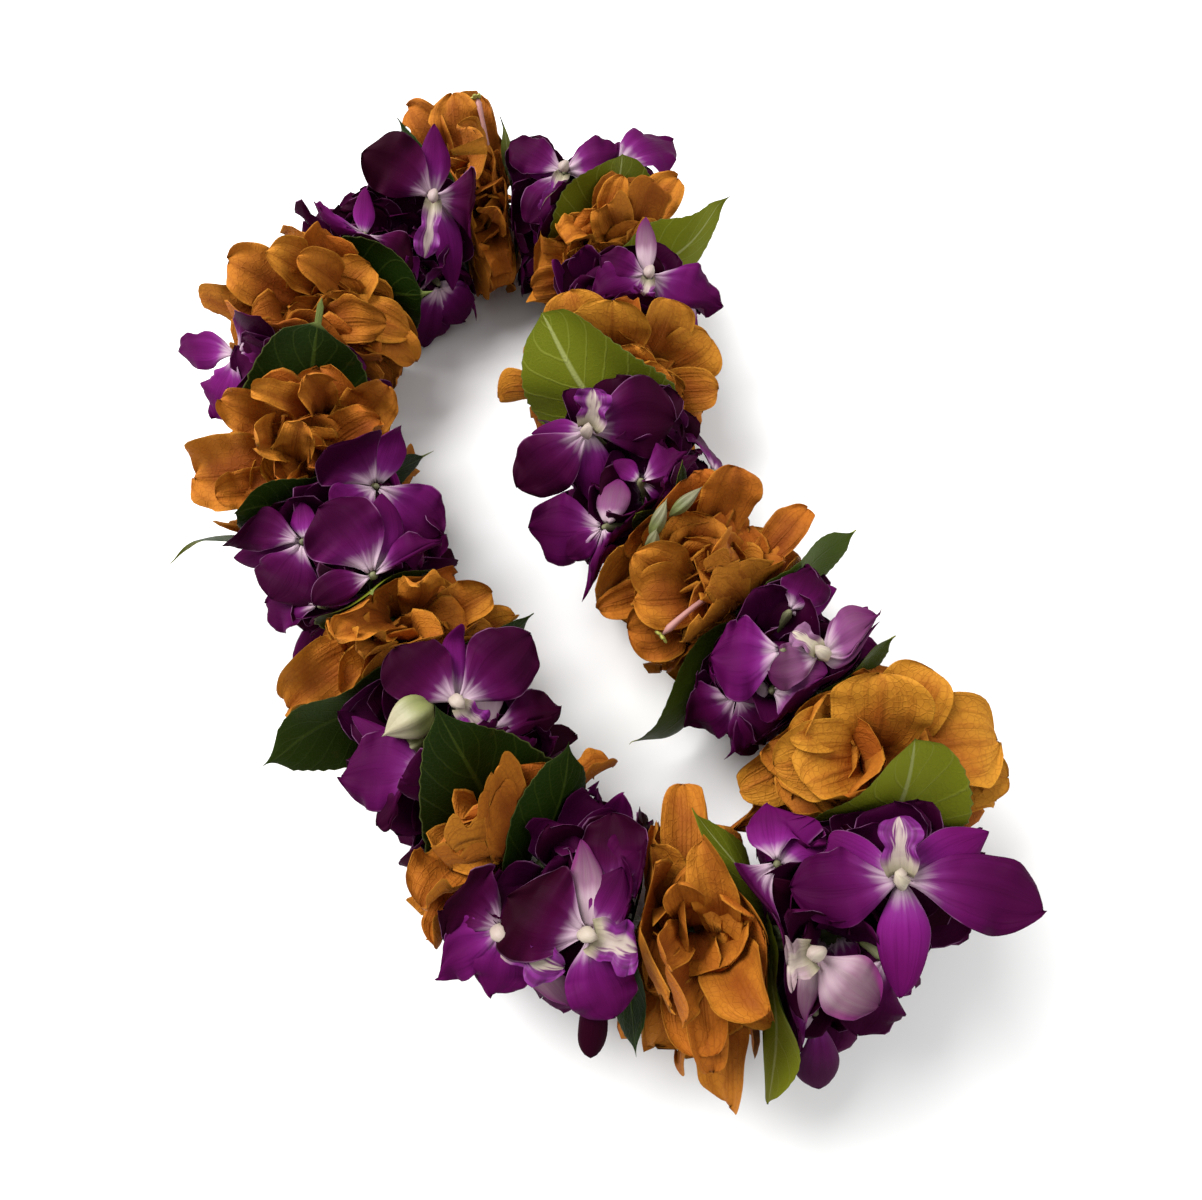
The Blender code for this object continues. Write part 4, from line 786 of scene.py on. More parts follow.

# %% [markdown]
# ## The finish of an orchid petal
# The petals are deep magenta-purple, nearly maroon at their outer end, and brighter and more violet
# towards the throat, which is a pale pinkish white, and fine veins run from it. That change along the
# petal is partly its own colour and partly painted shade and painted light: the maroon end is a petal
# in shade, the violet end a petal in light. The rim is a thin paler line, and the back of a petal is
# duller and pinker. A pale petal is whitish with a purple margin. All of this follows the blade's own
# plan, so every petal gets it in the right place.

# %% Orchid petals
def petal_finish():
    look = Finish("orchid_petal")
    tone, under, pale = look.mark("tone"), look.mark("under"), look.mark("pale")
    mottle = look.noise(38.0, 3.0)
    veins = look.streaks(1.6, 24.0, 3.0).within(0.48, 0.72)
    reach = look.along + (mottle - 0.5) * 0.30 + (look.streaks(1.0, 8.0) - 0.5) * 0.24
    # From a shaded purple at the outer end to a lit violet towards the throat: partly the petal's own
    # colour, partly painted shade and painted light
    dark_purple_and_painted_shade = look.mix(tone, (0.0145, 0.0002, 0.0046), (0.105, 0.0035, 0.080))
    violet_and_painted_light = look.mix(tone, (0.050, 0.0008, 0.028), (0.200, 0.0120, 0.185))
    body = look.mix(reach.within(0.80, 0.14), dark_purple_and_painted_shade, violet_and_painted_light)
    body = look.mix(reach.within(0.42, 0.08) * (tone * 0.5 + 0.22), body, (0.240, 0.050, 0.250))
    body = look.mix(veins * 0.20, body, (0.018, 0.0002, 0.009))
    glow = (reach - pale * 0.5).within(0.27, 0.03)
    body = look.mix(glow, body, (0.44, 0.32, 0.38))
    blush = look.mix(look.streaks(2.0, 14.0), (0.30, 0.14, 0.22), (0.40, 0.32, 0.30))
    body = look.mix(pale * look.along.within(1.15, 0.35), body, blush)
    margin = (look.off_middle * 0.75 + look.along * 0.35 + (mottle - 0.5) * 0.3).within(0.66, 0.98)
    body = look.mix(pale.within(0.1, 0.5) * margin * 0.7, body, (0.150, 0.008, 0.105))
    rim = look.off_middle.within(0.955, 0.99) * look.noise(70.0).within(0.40, 0.62)
    body = look.mix(rim * 0.55, body, (0.34, 0.15, 0.30))
    back = look.mix(veins, (0.090, 0.005, 0.058), (0.042, 0.001, 0.022))
    body = look.mix(under.within(0.5, 0.8) * 0.5, body, back)
    grain = look.noise(900.0, 2.0)
    bump = look.bump(veins * 0.4 + grain * 0.25 + mottle * 1.2, 0.28, 0.0006)
    return look.done(Base_Color=body, Roughness=0.50 + mottle * 0.16, Normal=bump, Specular_IOR_Level=0.03)


PETAL_FINISH = petal_finish()
print("made", PETAL_FINISH.name)

# %% [markdown]
# ## The finish of a throat and a lip
# The lip is the orchid's landing place: white at its root, with purple side lobes, and a frilled
# purple end. The column above it is marked pale and comes out waxy cream white. Both are smoother
# than a petal, so they shine more.

# %% Lip and column
def throat_finish():
    look = Finish("orchid_throat")
    tone, pale = look.mark("tone"), look.mark("pale")
    lines = look.streaks(2.2, 15.0, 1.5).within(0.40, 0.66)
    reach = look.along + (look.noise(90.0) - 0.5) * 0.3
    white = look.mix(tone, (0.38, 0.30, 0.27), (0.47, 0.42, 0.30))
    purple = look.mix(lines, (0.150, 0.010, 0.150), (0.095, 0.004, 0.085))
    blaze = (look.off_middle + (lines - 0.5) * 0.26 + reach * 0.42).within(0.66, 0.40)
    root = reach.within(0.34, 0.12)
    coloured = look.mix(blaze * 0.85 + root * 0.85, purple, white)
    body = look.mix(pale, coloured, white)
    body = look.mix(lines * 0.12 * (1 - pale), body, (0.12, 0.010, 0.11))
    body = look.mix(look.along.within(0.30, 0.0) * 0.5, body, (0.24, 0.24, 0.09))
    bump = look.bump(lines * 0.4 + look.noise(600.0) * 0.4, 0.25, 0.0005)
    return look.done(Base_Color=body, Roughness=0.42 + look.noise(120.0) * 0.14, Normal=bump,
                     Specular_IOR_Level=0.25)


THROAT_FINISH = throat_finish()
print("made", THROAT_FINISH.name)

# %% [markdown]
# ## The finish of a bract
# The orange bracts are thin and papery: matte, a little creased, with a midrib and a net of fine
# veins, and yellower at some rims. Their colour is a mottle of lit and shaded oranges, with painted
# shade that makes them darker and redder in the folds, towards the root and along the middle, and
# painted light towards the tip and the rims. Each has its own tone.

# %% Papery bracts
def bract_finish():
    look = Finish("papery_bract")
    tone, under = look.mark("tone"), look.mark("under")
    cloud = look.noise(55.0, 4.0)
    ribs = look.streaks(1.6, 15.0, 2.0).within(0.50, 0.62)
    net = look.net(420.0)
    midrib = look.off_middle.within(0.06, 0.01) * look.along.within(1.0, 0.6)
    # Shaded and lit copies of the orange, mixed by a mottle and by place: painted shade towards the root
    # and the middle, painted light towards the tip and the rims
    painted_shade_orange = look.mix(tone, (0.150, 0.029, 0.003), (0.290, 0.078, 0.007))
    painted_lit_orange = look.mix(tone, (0.330, 0.084, 0.007), (0.470, 0.195, 0.017))
    painted_light_and_mottle = cloud + (look.along - 0.6) * 0.5 + (look.off_middle - 0.5) * 0.25
    body = look.mix(painted_light_and_mottle.within(0.28, 0.72), painted_shade_orange, painted_lit_orange)
    body = look.mix(under * 0.25, body, (0.34, 0.11, 0.014))
    # Darker, redder streaks along the folds: painted shade in the folds
    body = look.mix(ribs * 0.22, body, (0.20, 0.038, 0.004))
    body = look.mix(net * 0.18, body, (0.18, 0.034, 0.004))
    body = look.mix(midrib * 0.40, body, (0.22, 0.060, 0.006))
    body = look.mix(look.off_middle.within(0.90, 1.0) * 0.30, body, (0.50, 0.24, 0.022))
    crinkle = look.noise(160.0, 4.0, rough=0.6)
    bump = look.bump(crinkle * 1.6 + net * 0.35 + ribs * 0.6 + midrib * 0.8, 0.42, 0.0009)
    return look.done(Base_Color=body, Roughness=0.60 + cloud * 0.20, Normal=bump, Specular_IOR_Level=0.10)


BRACT_FINISH = bract_finish()
print("made", BRACT_FINISH.name)

# %% [markdown]
# ## The finish of a leaf
# From above a leaf is very dark green and a little glossy, with a pale thin rim. Its underside is
# matte olive, and there the midrib, the side veins and their fine net stand out pale. The side veins
# are stripes along the blade that slant forward with distance from the midrib. A leaf's tone makes
# both sides lighter: a little at random, and more for some leaves, where it is partly a younger,
# lighter green and partly painted light on leaves that lie dim or edge-on to the lamps.

# %% Leaves
VEIN_PAIRS = 8.0
VEIN_SLANT = 2.3


def leaf_finish():
    look = Finish("garland_leaf")
    tone, under = look.mark("tone"), look.mark("under")
    below = under.within(0.5, 0.8)
    cloud = look.noise(45.0, 3.0)
    midrib = look.off_middle.within(0.060, 0.020)
    wander = (look.noise(60.0) - 0.5) * 0.5
    slanted = look.along * VEIN_PAIRS - look.off_middle * VEIN_SLANT + wander
    side_veins = (slanted * (2 * math.pi)).sine().within(0.93, 0.995)
    net = look.net(640.0)
    top = look.mix(cloud, (0.0026, 0.0074, 0.0003), (0.0090, 0.0230, 0.0009))
    # A lighter top for a higher tone: partly a lighter green, partly painted light
    top = look.mix(tone, top, (0.055, 0.086, 0.0060))
    top = look.mix(midrib * 0.45 + side_veins * 0.20 + net * 0.08, top, (0.055, 0.080, 0.010))
    low = look.mix(cloud, (0.068, 0.084, 0.003), (0.120, 0.136, 0.006))
    # A lighter underside for a higher tone: partly a lighter green, partly painted light
    low = look.mix(tone * 0.8, low, (0.200, 0.220, 0.010))
    low = look.mix(net * 0.30, low, (0.150, 0.170, 0.012))
    low = look.mix(side_veins * 0.5, low, (0.200, 0.220, 0.030))
    low = look.mix(midrib * 0.9, low, (0.27, 0.29, 0.09))
    body = look.mix(below, top, low)
    body = look.mix(look.off_middle.within(0.965, 0.995) * 0.5, body, (0.14, 0.17, 0.045))
    body = look.mix(look.noise(210.0, 4.0).within(0.66, 0.74) * 0.22, body, (0.060, 0.048, 0.009))
    body = look.mix(look.mark("pale") * 0.8, body, (0.14, 0.17, 0.045))
    bump = look.bump(midrib * 1.0 + side_veins * 0.6 + net * 0.28 + cloud * 0.5, 0.45, 0.0006)
    return look.done(Base_Color=body, Roughness=0.42 + below * 0.18 + cloud * 0.12, Normal=bump,
                     Specular_IOR_Level=0.07)


LEAF_FINISH = leaf_finish()
print("made", LEAF_FINISH.name)

# %% [markdown]
# ## Stalks, tube flowers and thread
# Short green stalks and flower bases crowd round the thread inside each cluster. The bracts' true
# flowers are slim pale pink tubes that end in a small yellow-green star. Buds share the stalks'
# finish: marked pale, they are green at the root and creamy towards the tip. The thread is two-ply
# white cotton.

# %% Stalks, tubes and cotton
def stalk_finish():
    look = Finish("green_stalk")
    cloud = look.noise(140.0, 4.0)
    body = look.mix(cloud.within(0.3, 0.7), (0.022, 0.036, 0.006), (0.075, 0.090, 0.018))
    ribs = look.streaks(1.5, 9.0)
    creamy = look.along.within(0.25, 0.75) * 0.8 + ribs * 0.35
    body = look.mix(look.mark("pale"), body, look.mix(creamy, (0.150, 0.175, 0.035), (0.34, 0.30, 0.19)))
    bump = look.bump(look.streaks(2.0, 20.0) + look.noise(500.0) * 0.4, 0.4, 0.0007)
    return look.done(Base_Color=body, Roughness=0.42 + cloud * 0.2, Normal=bump, Specular_IOR_Level=0.4)


def tube_finish():
    look = Finish("pink_tube")
    lines = look.streaks(2.0, 12.0)
    pink = look.mix(lines, (0.33, 0.13, 0.12), (0.42, 0.23, 0.20))
    body = look.mix(look.mark("pale"), pink, (0.34, 0.36, 0.06))
    bump = look.bump(lines + look.noise(700.0) * 0.3, 0.3, 0.0005)
    return look.done(Base_Color=body, Roughness=0.50 + lines * 0.15, Normal=bump, Specular_IOR_Level=0.35)


def thread_finish():
    look = Finish("cotton_thread")
    fibre = look.noise(2600.0, 3.0)
    body = look.mix(fibre, (0.62, 0.58, 0.47), (0.82, 0.80, 0.70))
    return look.done(Base_Color=body, Roughness=0.75 + fibre * 0.2, Normal=look.bump(fibre, 0.5, 0.0003),
                     Specular_IOR_Level=0.2)


STALK_FINISH, TUBE_FINISH, THREAD_FINISH = stalk_finish(), tube_finish(), thread_finish()
print("made", STALK_FINISH.name, TUBE_FINISH.name, THREAD_FINISH.name)

# %% [markdown]
# ## Orchids
# A dendrobium orchid has two broad petals in front of three slim sepals, a lip that cups the column,
# and a stalk behind. Each part leaves the throat in its own direction and rises a little before it
# bends back, so no two blooms look stamped.

# %% What the orchids are told
CORE_END_GAP, CORE_ROUNDING = 3.0, 3.0
ROOT_OUT, PART_START = 3.2, 1.5
# Slope, reflex and depth under the throat of each part's midline
PART_LINES = {"petal": (0.16, 0.20, 1.5), "sepal": (0.04, 0.16, 4.2), "lip": (0.75, 0.55, 0.5)}
# How far the tone of each kind goes, from the darkest maroon at 0 to bright violet at 1
PART_TONES = {"petal": (0.0, 0.50), "sepal": (0.45, 1.0), "lip": (0.0, 1.0)}
# Parts that end in a rounded club, by cluster, bloom and part
CLUBS = (("orchids_5", 4, 0), ("orchids_6", 1, 5), ("orchids_6", 3, 0))
# Paler blooms and paler single parts, by cluster, bloom and part
PALER = {
    ("orchids_2", 0, 0): 0.45, ("orchids_3", 1, 4): 0.30, ("orchids_4", 0): 0.18, ("orchids_4", 2): 0.15,
    ("orchids_5", 1): 0.55, ("orchids_6", 0, 4): 0.75, ("orchids_6", 1, 1): 0.50,
    ("orchids_7", 1, 1): 0.45,
}
# Tones judged from the photograph for the parts that show most; a draw gives the rest
TONES = {
    ("orchids_1", 1): (0.45, 0.1), ("orchids_2", 0): (0.6, 0.2, 0.40, 0.3),
    ("orchids_3", 0): (0.55, 0.06, 0.05), ("orchids_3", 1): (0.26, 0.5, 0.15),
    ("orchids_4", 0): (0.75, 0.85, 0.6), ("orchids_4", 1): (0.55, 0.7, 0.3),
    ("orchids_4", 2): (0.85, 0.75, 0.9), ("orchids_5", 0): (0.30, 0.28, 0.85, 0.75, 0.80),
    ("orchids_5", 2): (0.12, 0.70), ("orchids_5", 4): (0.30,), ("orchids_6", 0): (0.02, 0.55, 0.50),
    ("orchids_6", 1): (0.0, 0.7, 0.5, 0.50, 0.3, 0.0), ("orchids_6", 2): (0.08, 0.05),
    ("orchids_7", 0): (0.06, 0.10, 0.6), ("orchids_7", 1): (0.04, 0.6),
    ("orchids_7", 2): (0.35, 0.5, 0.08), ("orchids_8", 0): (0.18, 0.5, 0.30, 0.1),
    ("orchids_8", 1): (0.14, 0.6, 0.40, 0.45),
    ("orchids_8", 2): (0.10, 0.3), ("orchids_9", 0): (0.55, 0.60, 0.2, 0.5, 0.10),
    ("orchids_10", 0): (0.55, 0.0, 0.0, 0.6), ("orchids_10", 1): (0.0, 0.45),
}
print("blooms with tones of their own:", len(TONES))

# %% One orchid
# The column's line as steps up from the throat and towards the lip, and its radii
COLUMN_LINE = ((-2.5, -1.0), (-2.0, -1.0), (1.0, -1.4), (3.4, -1.2), (5.2, 0.0), (6.4, 1.6), (6.6, 3.2))
COLUMN_RADII = (1.2, 1.7, 2.1, 2.4, 1.7)
# The top of the stalk as depths under the throat, where its neck is, and its radii
STALK_DEPTHS = (5.0, 1.6, 0.4)
STALK_RADII = (1.6, 1.5, 1.4, 1.8, 1.1)
NECK_SHARE = 0.45


def core_spot(number, along, around, out=ROOT_OUT):
    """The place nearest to one asked for that is over the cluster's core, short of its rounded ends."""
    low, high = cluster_ends(number)
    room = (high - low) / 2 - CORE_END_GAP - CORE_ROUNDING
    return LOOP.spot(cluster_middle(number) + min(max(along, -room), room), around, out)


def add_column(throats, number, throat, facing, lip_way, draw):
    """The waxy hood over the lip: a short lobed body that bends towards it."""
    line = [throat + facing * rise + lip_way * shift for rise, shift in COLUMN_LINE]
    throats.add(*lofted(line, COLUMN_RADII, 16, number, draw.random(), pale=0.8, lobes=3, depth=0.12))


def add_orchid(petals, throats, stalks, number, bloom, draw, place):
    """One bloom: its parts round the throat, a column over each lip, and the stalk behind."""
    middle = cluster_middle(number)
    ahead, outward, around = LOOP.axes(middle + bloom.along, bloom.around)
    lean_a, lean_r = math.radians(bloom.lean_along), math.radians(bloom.lean_around)
    facing = unit((outward * math.cos(lean_r) + around * math.sin(lean_r)) * math.cos(lean_a)
                  + ahead * math.sin(lean_a))
    first = unit(ahead - facing * np.dot(ahead, facing))
    second = np.cross(facing, first)
    throat = LOOP.spot(middle + bloom.along, bloom.around, bloom.out)
    tone = draw.random()

    def direction(clock):
        turn = math.radians(clock)
        return first * math.cos(turn) + second * math.sin(turn)

    for order, part in enumerate(bloom.parts):
        slope, reflex, depth = PART_LINES[part.kind]
        low, high = PART_TONES[part.kind]
        paler = PALER.get(place, 0.0) + PALER.get((*place, order), 0.0)
        drawn = low + (high - low) * (0.4 * tone + 0.6 * draw.random())
        known = TONES.get(place, ())
        way = direction(part.clock)
        bow = direction(part.clock + 90) * part.length * draw.uniform(-0.06, 0.06)

        def spine(u, way=way, part=part):
            u = u[:, None]
            rise = part.length * (slope * u - reflex * u * u) - depth
            reach = PART_START + (part.length - PART_START) * u
            return throat + way * reach + facing * rise + bow * 4 * u * (1 - u)

        target = throats if part.kind == "lip" else petals
        kind = "club" if (*place, order) in CLUBS else part.kind
        target.add(*blade(kind, spine, part.width, direction(part.clock + 90), facing, draw, number,
                          pale=paler, tone=known[order] if order < len(known) else drawn))
    for part in bloom.parts:
        if part.kind == "lip":
            add_column(throats, number, throat, facing, direction(part.clock), draw)
    root = core_spot(number, bloom.along, bloom.around)
    neck = core_spot(number, bloom.along, bloom.around, bloom.out * NECK_SHARE)
    base, *top = (throat - facing * depth for depth in STALK_DEPTHS)
    line = [root, root * 0.9 + neck * 0.1, neck, (neck + base) / 2, base, *top]
    stalks.add(*lofted(line, STALK_RADII, 10, number, draw.random(), pale=0.35))


print("an orchid's parts:", ", ".join(PART_LINES), "and a column")

# %% [markdown]
# ## Bracts
# A bract is a broad round-ended blade on a short stalk, arched over its cluster. Its midline is one
# curve from the core through a knee near the thread to its tip. The upper ones turn to a place above
# the garland's near end, where the camera is.

# %% One bract and one tube flower
BRACT_KNEE, FILLER_KNEE = 18.0, 11.0
BRACT_ARCH, BRACT_ROLL = 0.35, 0.18
SEEN_FROM = np.array([-46.0, -174.0, 355.0])
LOW_SIDE, TURN_SHARE = 100.0, 2.0
END_ON = 0.15
# The tube's radii, each with the share of its length where it is, and its bend as a share of the reach
TUBE_SHARES, TUBE_RADII = (0, 0.3, 0.8, 1), (0.8, 1.2, 1.0, 1.4)
TUBE_BEND, TUBE_TIPS, TIP_WIDTH = 0.75, 5, 2.6


def add_bract(bracts, number, bloom, draw, kind="bract", tone=None):
    """One bract, or one of the short blades that fill the gaps."""
    middle = cluster_middle(number)
    start = core_spot(number, bloom.root_along, bloom.root_around)
    knee_out = FILLER_KNEE if kind == "filler" else BRACT_KNEE
    knee = LOOP.spot(middle + bloom.root_along, bloom.root_around, knee_out)
    end = LOOP.spot(middle + bloom.along, bloom.around, bloom.out)
    _, outward, around = LOOP.axes(middle + bloom.along, bloom.around)
    turned = 0.0 if abs(bloom.around) > LOW_SIDE else TURN_SHARE
    facing = unit(unit(SEEN_FROM - end) * turned + outward)
    over = (knee + end) / 2 + facing * BRACT_ARCH * np.linalg.norm(end - knee)

    def spine(u):
        u = u[:, None]
        return start * (1 - u) ** 3 + knee * 3 * u * (1 - u) ** 2 + over * 3 * u * u * (1 - u) + end * u**3

    across = np.cross(unit(end - knee), facing)
    across = around if np.linalg.norm(across) < END_ON else unit(across)
    across = unit(across + facing * draw.uniform(-BRACT_ROLL, BRACT_ROLL))
    bracts.add(*blade(kind, spine, bloom.width, across, facing, draw, number, tone=tone))


def add_tube_flower(tubes, number, bloom, draw):
    """A slim tube that swells a little and ends in a star of small tips."""
    middle = cluster_middle(number)
    base = core_spot(number, bloom.root_along, bloom.root_around)
    bend = LOOP.spot(middle + bloom.root_along, bloom.root_around, bloom.out * TUBE_BEND)
    end = LOOP.spot(middle + bloom.along, bloom.around, bloom.out)
    line = arc(base, bend, end, 12)
    radii = np.interp(np.linspace(0, 1, 10), TUBE_SHARES, TUBE_RADII)
    tubes.add(*lofted(line, radii, 12, number, draw.random(), lobes=TUBE_TIPS, depth=0.08))
    ahead = unit(line[-1] - line[-3])
    side = unit(np.cross(ahead, [0.2, 0.3, 0.9]))
    up = np.cross(side, ahead)
    for step in range(TUBE_TIPS):
        turn = 2 * math.pi * step / TUBE_TIPS
        way = side * math.cos(turn) + up * math.sin(turn)

        def spine(u, way=way):
            u = u[:, None]
            return end - ahead * 1.0 + way * (0.4 + 2.8 * u) + ahead * 1.6 * u * (1 - 0.6 * u)

        tubes.add(*blade("sepal", spine, TIP_WIDTH, np.cross(ahead, way), ahead, draw, number, pale=0.9))


print("bracts up to", LOW_SIDE, "degrees round turn to", SEEN_FROM)

# %% [markdown]
# ## The blooms that the photograph hides
# The low sides of the lei can't be seen from above, yet the piece is looked at from all sides. A
# rule places two plain orchids or three bracts there in each cluster, but no orchid in a very short
# one. Each draw is seeded by the cluster's name, so that they come out the same on every run.

# %% Hidden blooms
HIDDEN_ORCHIDS = (-118, 112)
HIDDEN_BRACTS = ((178, 150, 60), (-100, -112, 37), (106, 118, 42))
SMALL_CLUSTER = 15.0


def hidden_blooms(name, half):
    """The plan lines of a cluster's hidden blooms."""
    draw = random.Random(name)
    blooms = []
    if name.startswith("bracts"):
        for root_around, around, out in HIDDEN_BRACTS:
            root = draw.uniform(-0.4, 0.4) * half
            end = root + draw.uniform(-0.4, 0.4) * half
            blooms.append(Bract(root, root_around, end, around, out, 30))
    elif half > SMALL_CLUSTER:
        for around in HIDDEN_ORCHIDS:
            clock = draw.uniform(60, 120)
            parts = (petal(clock - 64, 36, 32), petal(clock + 64, 36, 32), sepal(clock, 36, 15))
            blooms.append(Orchid(draw.uniform(-0.25, 0.25) * half, around, 25, 0, 0, parts))
    return blooms


print("hidden in a cluster:", len(HIDDEN_ORCHIDS), "orchids or", len(HIDDEN_BRACTS), "bracts")

# %% [markdown]
# ## Petals that fill the gaps
# In the real garland no thread or core shows, because more petals are crowded underneath than
# anyone could count. A rule adds short blades low over each core, in rows that are jittered by a
# seeded draw, so that what shows between the planned blooms is more flower. The lowest rows reach
# further, down to the table.

# %% Fillers
FILLER_OUT, FILLER_RISE, FILLER_SPACING = 24.0, 6.0, 9.0
FILLER_ROWS = (-170, -146, -122, -98, -70, -42, -14, 14, 42, 70, 98, 122, 146, 170)
LOW_FROM, LOW_OUT = 115, 8.0


def add_fillers(target, number, half, draw, size, brightest):
    """Rows of short blades along one core."""
    steps = max(2, round(2 * half / (FILLER_SPACING * size)))
    for around in FILLER_ROWS:
        further = LOW_OUT if abs(around) > LOW_FROM else 0
        for step in range(steps):
            share = (step + 0.5) / steps * 2 - 1
            root = half * share * 0.8 + draw.uniform(-2, 2)
            turn = around + draw.uniform(-12, 12)
            end = half * share * 1.25 + draw.uniform(-7, 7)
            out = FILLER_OUT + FILLER_RISE * abs(share) + draw.uniform(-5, 4) + further
            plan = Bract(root, turn, end, turn + draw.uniform(-25, 25), out, draw.uniform(18, 28) * size)
            add_bract(target, number, plan, draw, "filler", draw.uniform(0.0, brightest))


print("rows of fillers on a core:", len(FILLER_ROWS))

# %% [markdown]
# ## The core of stalks
# Under the flowers each cluster has a bundle of stalk ends round the thread. A ring with a lobed
# outline, swept along the thread and closed at both ends round a small hole, reads as such a bundle.

# %% One core
CORE_RADIUS, CORE_HOLE = 6.0, 1.4
CORE_RINGS, CORE_SIDES = 24, 36


def add_swept(piece, along, shares, radius, tone):
    """A closed body round the thread's line: at each place along it, a ring of radii."""
    rows, sides = radius.shape
    turn = np.linspace(0, 2 * np.pi, sides, endpoint=False)
    points = LOOP.place(np.repeat(along, sides), (radius * np.sin(turn)).ravel(),
                        (radius * np.cos(turn)).ravel())
    plan = np.stack([np.repeat(shares, sides), np.tile(turn / (2 * np.pi), rows)], 1)
    piece.add(points, ring_faces(rows, sides), plan, np.full((len(points), 3), (tone, 0.0, 0.0)))


def add_core(stalks, number, draw):
    """The bundle of one cluster, out along its lobed outside and back along its hole."""
    low, high = cluster_ends(number)
    low, high = low + CORE_END_GAP, high - CORE_END_GAP
    share = np.linspace(0, 1, CORE_RINGS)
    turn = np.linspace(0, 2 * np.pi, CORE_SIDES, endpoint=False)
    swell = np.sin(np.pi * np.clip(share, 0.08, 0.92)) ** 0.35
    lobes = (1 + 0.12 * np.cos(7 * turn[None] + phase(draw) + 2 * share[:, None])
             + 0.05 * np.cos(3 * turn[None] + 9 * share[:, None]))
    outer = CORE_RADIUS * swell[:, None] * lobes
    radius = np.vstack([outer, np.full_like(outer, CORE_HOLE)])
    there_and_back = np.concatenate([share, share[::-1]])
    add_swept(stalks, there_and_back * (high - low) + low, there_and_back, radius, draw.random())


print("a core has", CORE_RINGS, "rings each way")

# %% [markdown]
# ## Buds
# A few pale green buds sit among the flowers: one large one that has begun to open, and small ones
# beside it and in an orange cluster. Each is a pointed, lobed body on a curved line.

# %% Buds
Bud = namedtuple("Bud", "root_along root_around along around out radius pale")
BUDS = {
    "orchids_7": (Bud(6, -3, 3, 27, 39, 6.8, 1.0), Bud(-1, 14, -3, 30, 33, 3.0, 1.0)),
    "bracts_4": (Bud(-15, -30, -20, -8, 40, 2.6, 0.45), Bud(-12, -38, -14, -22, 39, 2.4, 0.35),
                 Bud(-17, -12, -17, 12, 40, 2.4, 0.45)),
}
BUD_ROOT, BUD_ARCH = 0.8, 0.6


def add_bud(stalks, number, bud, draw):
    """One bud, widest nearer its root."""
    middle = cluster_middle(number)
    start = LOOP.spot(middle + bud.root_along, bud.root_around, bud.out * BUD_ROOT)
    end = LOOP.spot(middle + bud.along, bud.around, bud.out)
    over = (start + end) / 2 + unit(SEEN_FROM - end) * bud.radius * BUD_ARCH
    radii = bud.radius * np.sin(np.pi * np.linspace(0.06, 0.97, 12) ** 0.8)
    stalks.add(*lofted(arc(start, over, end, 14), radii, 30, number, draw.random(), pale=bud.pale,
                       lobes=5, depth=0.13))


print("buds:", sum(len(buds) for buds in BUDS.values()))

# %% [markdown]
# ## Every cluster
# A cluster becomes two or three pieces, one for each finish in it. Their draws are seeded by the
# cluster's name too. Some orange clusters are lighter, smoother or more twisted than the rest.

# %% Dress every cluster
BRACT_TONE = {"bracts_3": 0.55, "bracts_5": 0.9, "bracts_8": 0.35, "bracts_10": 0.35}
BRACT_STYLE = {"bracts_3": "smooth bract", "bracts_5": "smooth bract", "bracts_6": "twisted bract",
               "bracts_7": "wavy bract", "bracts_8": "wavy bract", "bracts_9": "wavy bract"}
FILLER_SIZE = {"bracts_5": 1.6}
PLAIN_TONE, TONE_SPREAD, PLAIN_SIZE = 0.2, 0.4, 1.25
PETAL_BRIGHTEST, BRACT_BRIGHTEST = 0.25, 0.6

triangles = 0
for number, cluster in enumerate(CLUSTERS):
    draw = random.Random("looks of " + cluster.name)
    half = cluster_middle(number) - cluster_ends(number)[0]
    blooms = [*cluster.blooms, *hidden_blooms(cluster.name, half)]
    stalks = Piece(cluster.name + "_stalks")
    add_core(stalks, number, draw)
    for bud in BUDS.get(cluster.name, ()):
        add_bud(stalks, number, bud, draw)
    if cluster.name.startswith("orchids"):
        petals, throats = Piece(cluster.name + "_petals"), Piece(cluster.name + "_throats")
        for order, bloom in enumerate(blooms):
            add_orchid(petals, throats, stalks, number, bloom, draw, (cluster.name, order))
        add_fillers(petals, number, half, draw, 1.0, PETAL_BRIGHTEST)
        made = (stalks, STALK_FINISH), (petals, PETAL_FINISH), (throats, THROAT_FINISH)
        slot = "petals"
    else:
        bracts, tubes = Piece(cluster.name + "_papery"), Piece(cluster.name + "_tubes")
        style = BRACT_STYLE.get(cluster.name, "bract")
        for bloom in blooms:
            if isinstance(bloom, Tube):
                add_tube_flower(tubes, number, bloom, draw)
            else:
                tone = BRACT_TONE.get(cluster.name, PLAIN_TONE) + draw.uniform(0, TONE_SPREAD)
                add_bract(bracts, number, bloom, draw, style, tone)
        add_fillers(bracts, number, half, draw, FILLER_SIZE.get(cluster.name, PLAIN_SIZE), BRACT_BRIGHTEST)
        made = (stalks, STALK_FINISH), (bracts, BRACT_FINISH), (tubes, TUBE_FINISH)
        slot = "bracts"
    for piece, finish in made:
        if piece.count:
            item = piece.make(finish, slot, cluster.name)
            triangles += sum(len(polygon.vertices) - 2 for polygon in item.data.polygons)
print("clusters dressed:", len(CLUSTERS), "with", triangles, "triangles")

# %% [markdown]
# ## Leaves
# Each leaf is a blade whose midline runs straight out from the thread in the surface between two
# clusters. Where the photograph shows a leaf stalk at the outer end, the outline is turned round, so
# that the stalk end is out there and the point is buried. Fine teeth along the rim are cut into the
# outline itself.

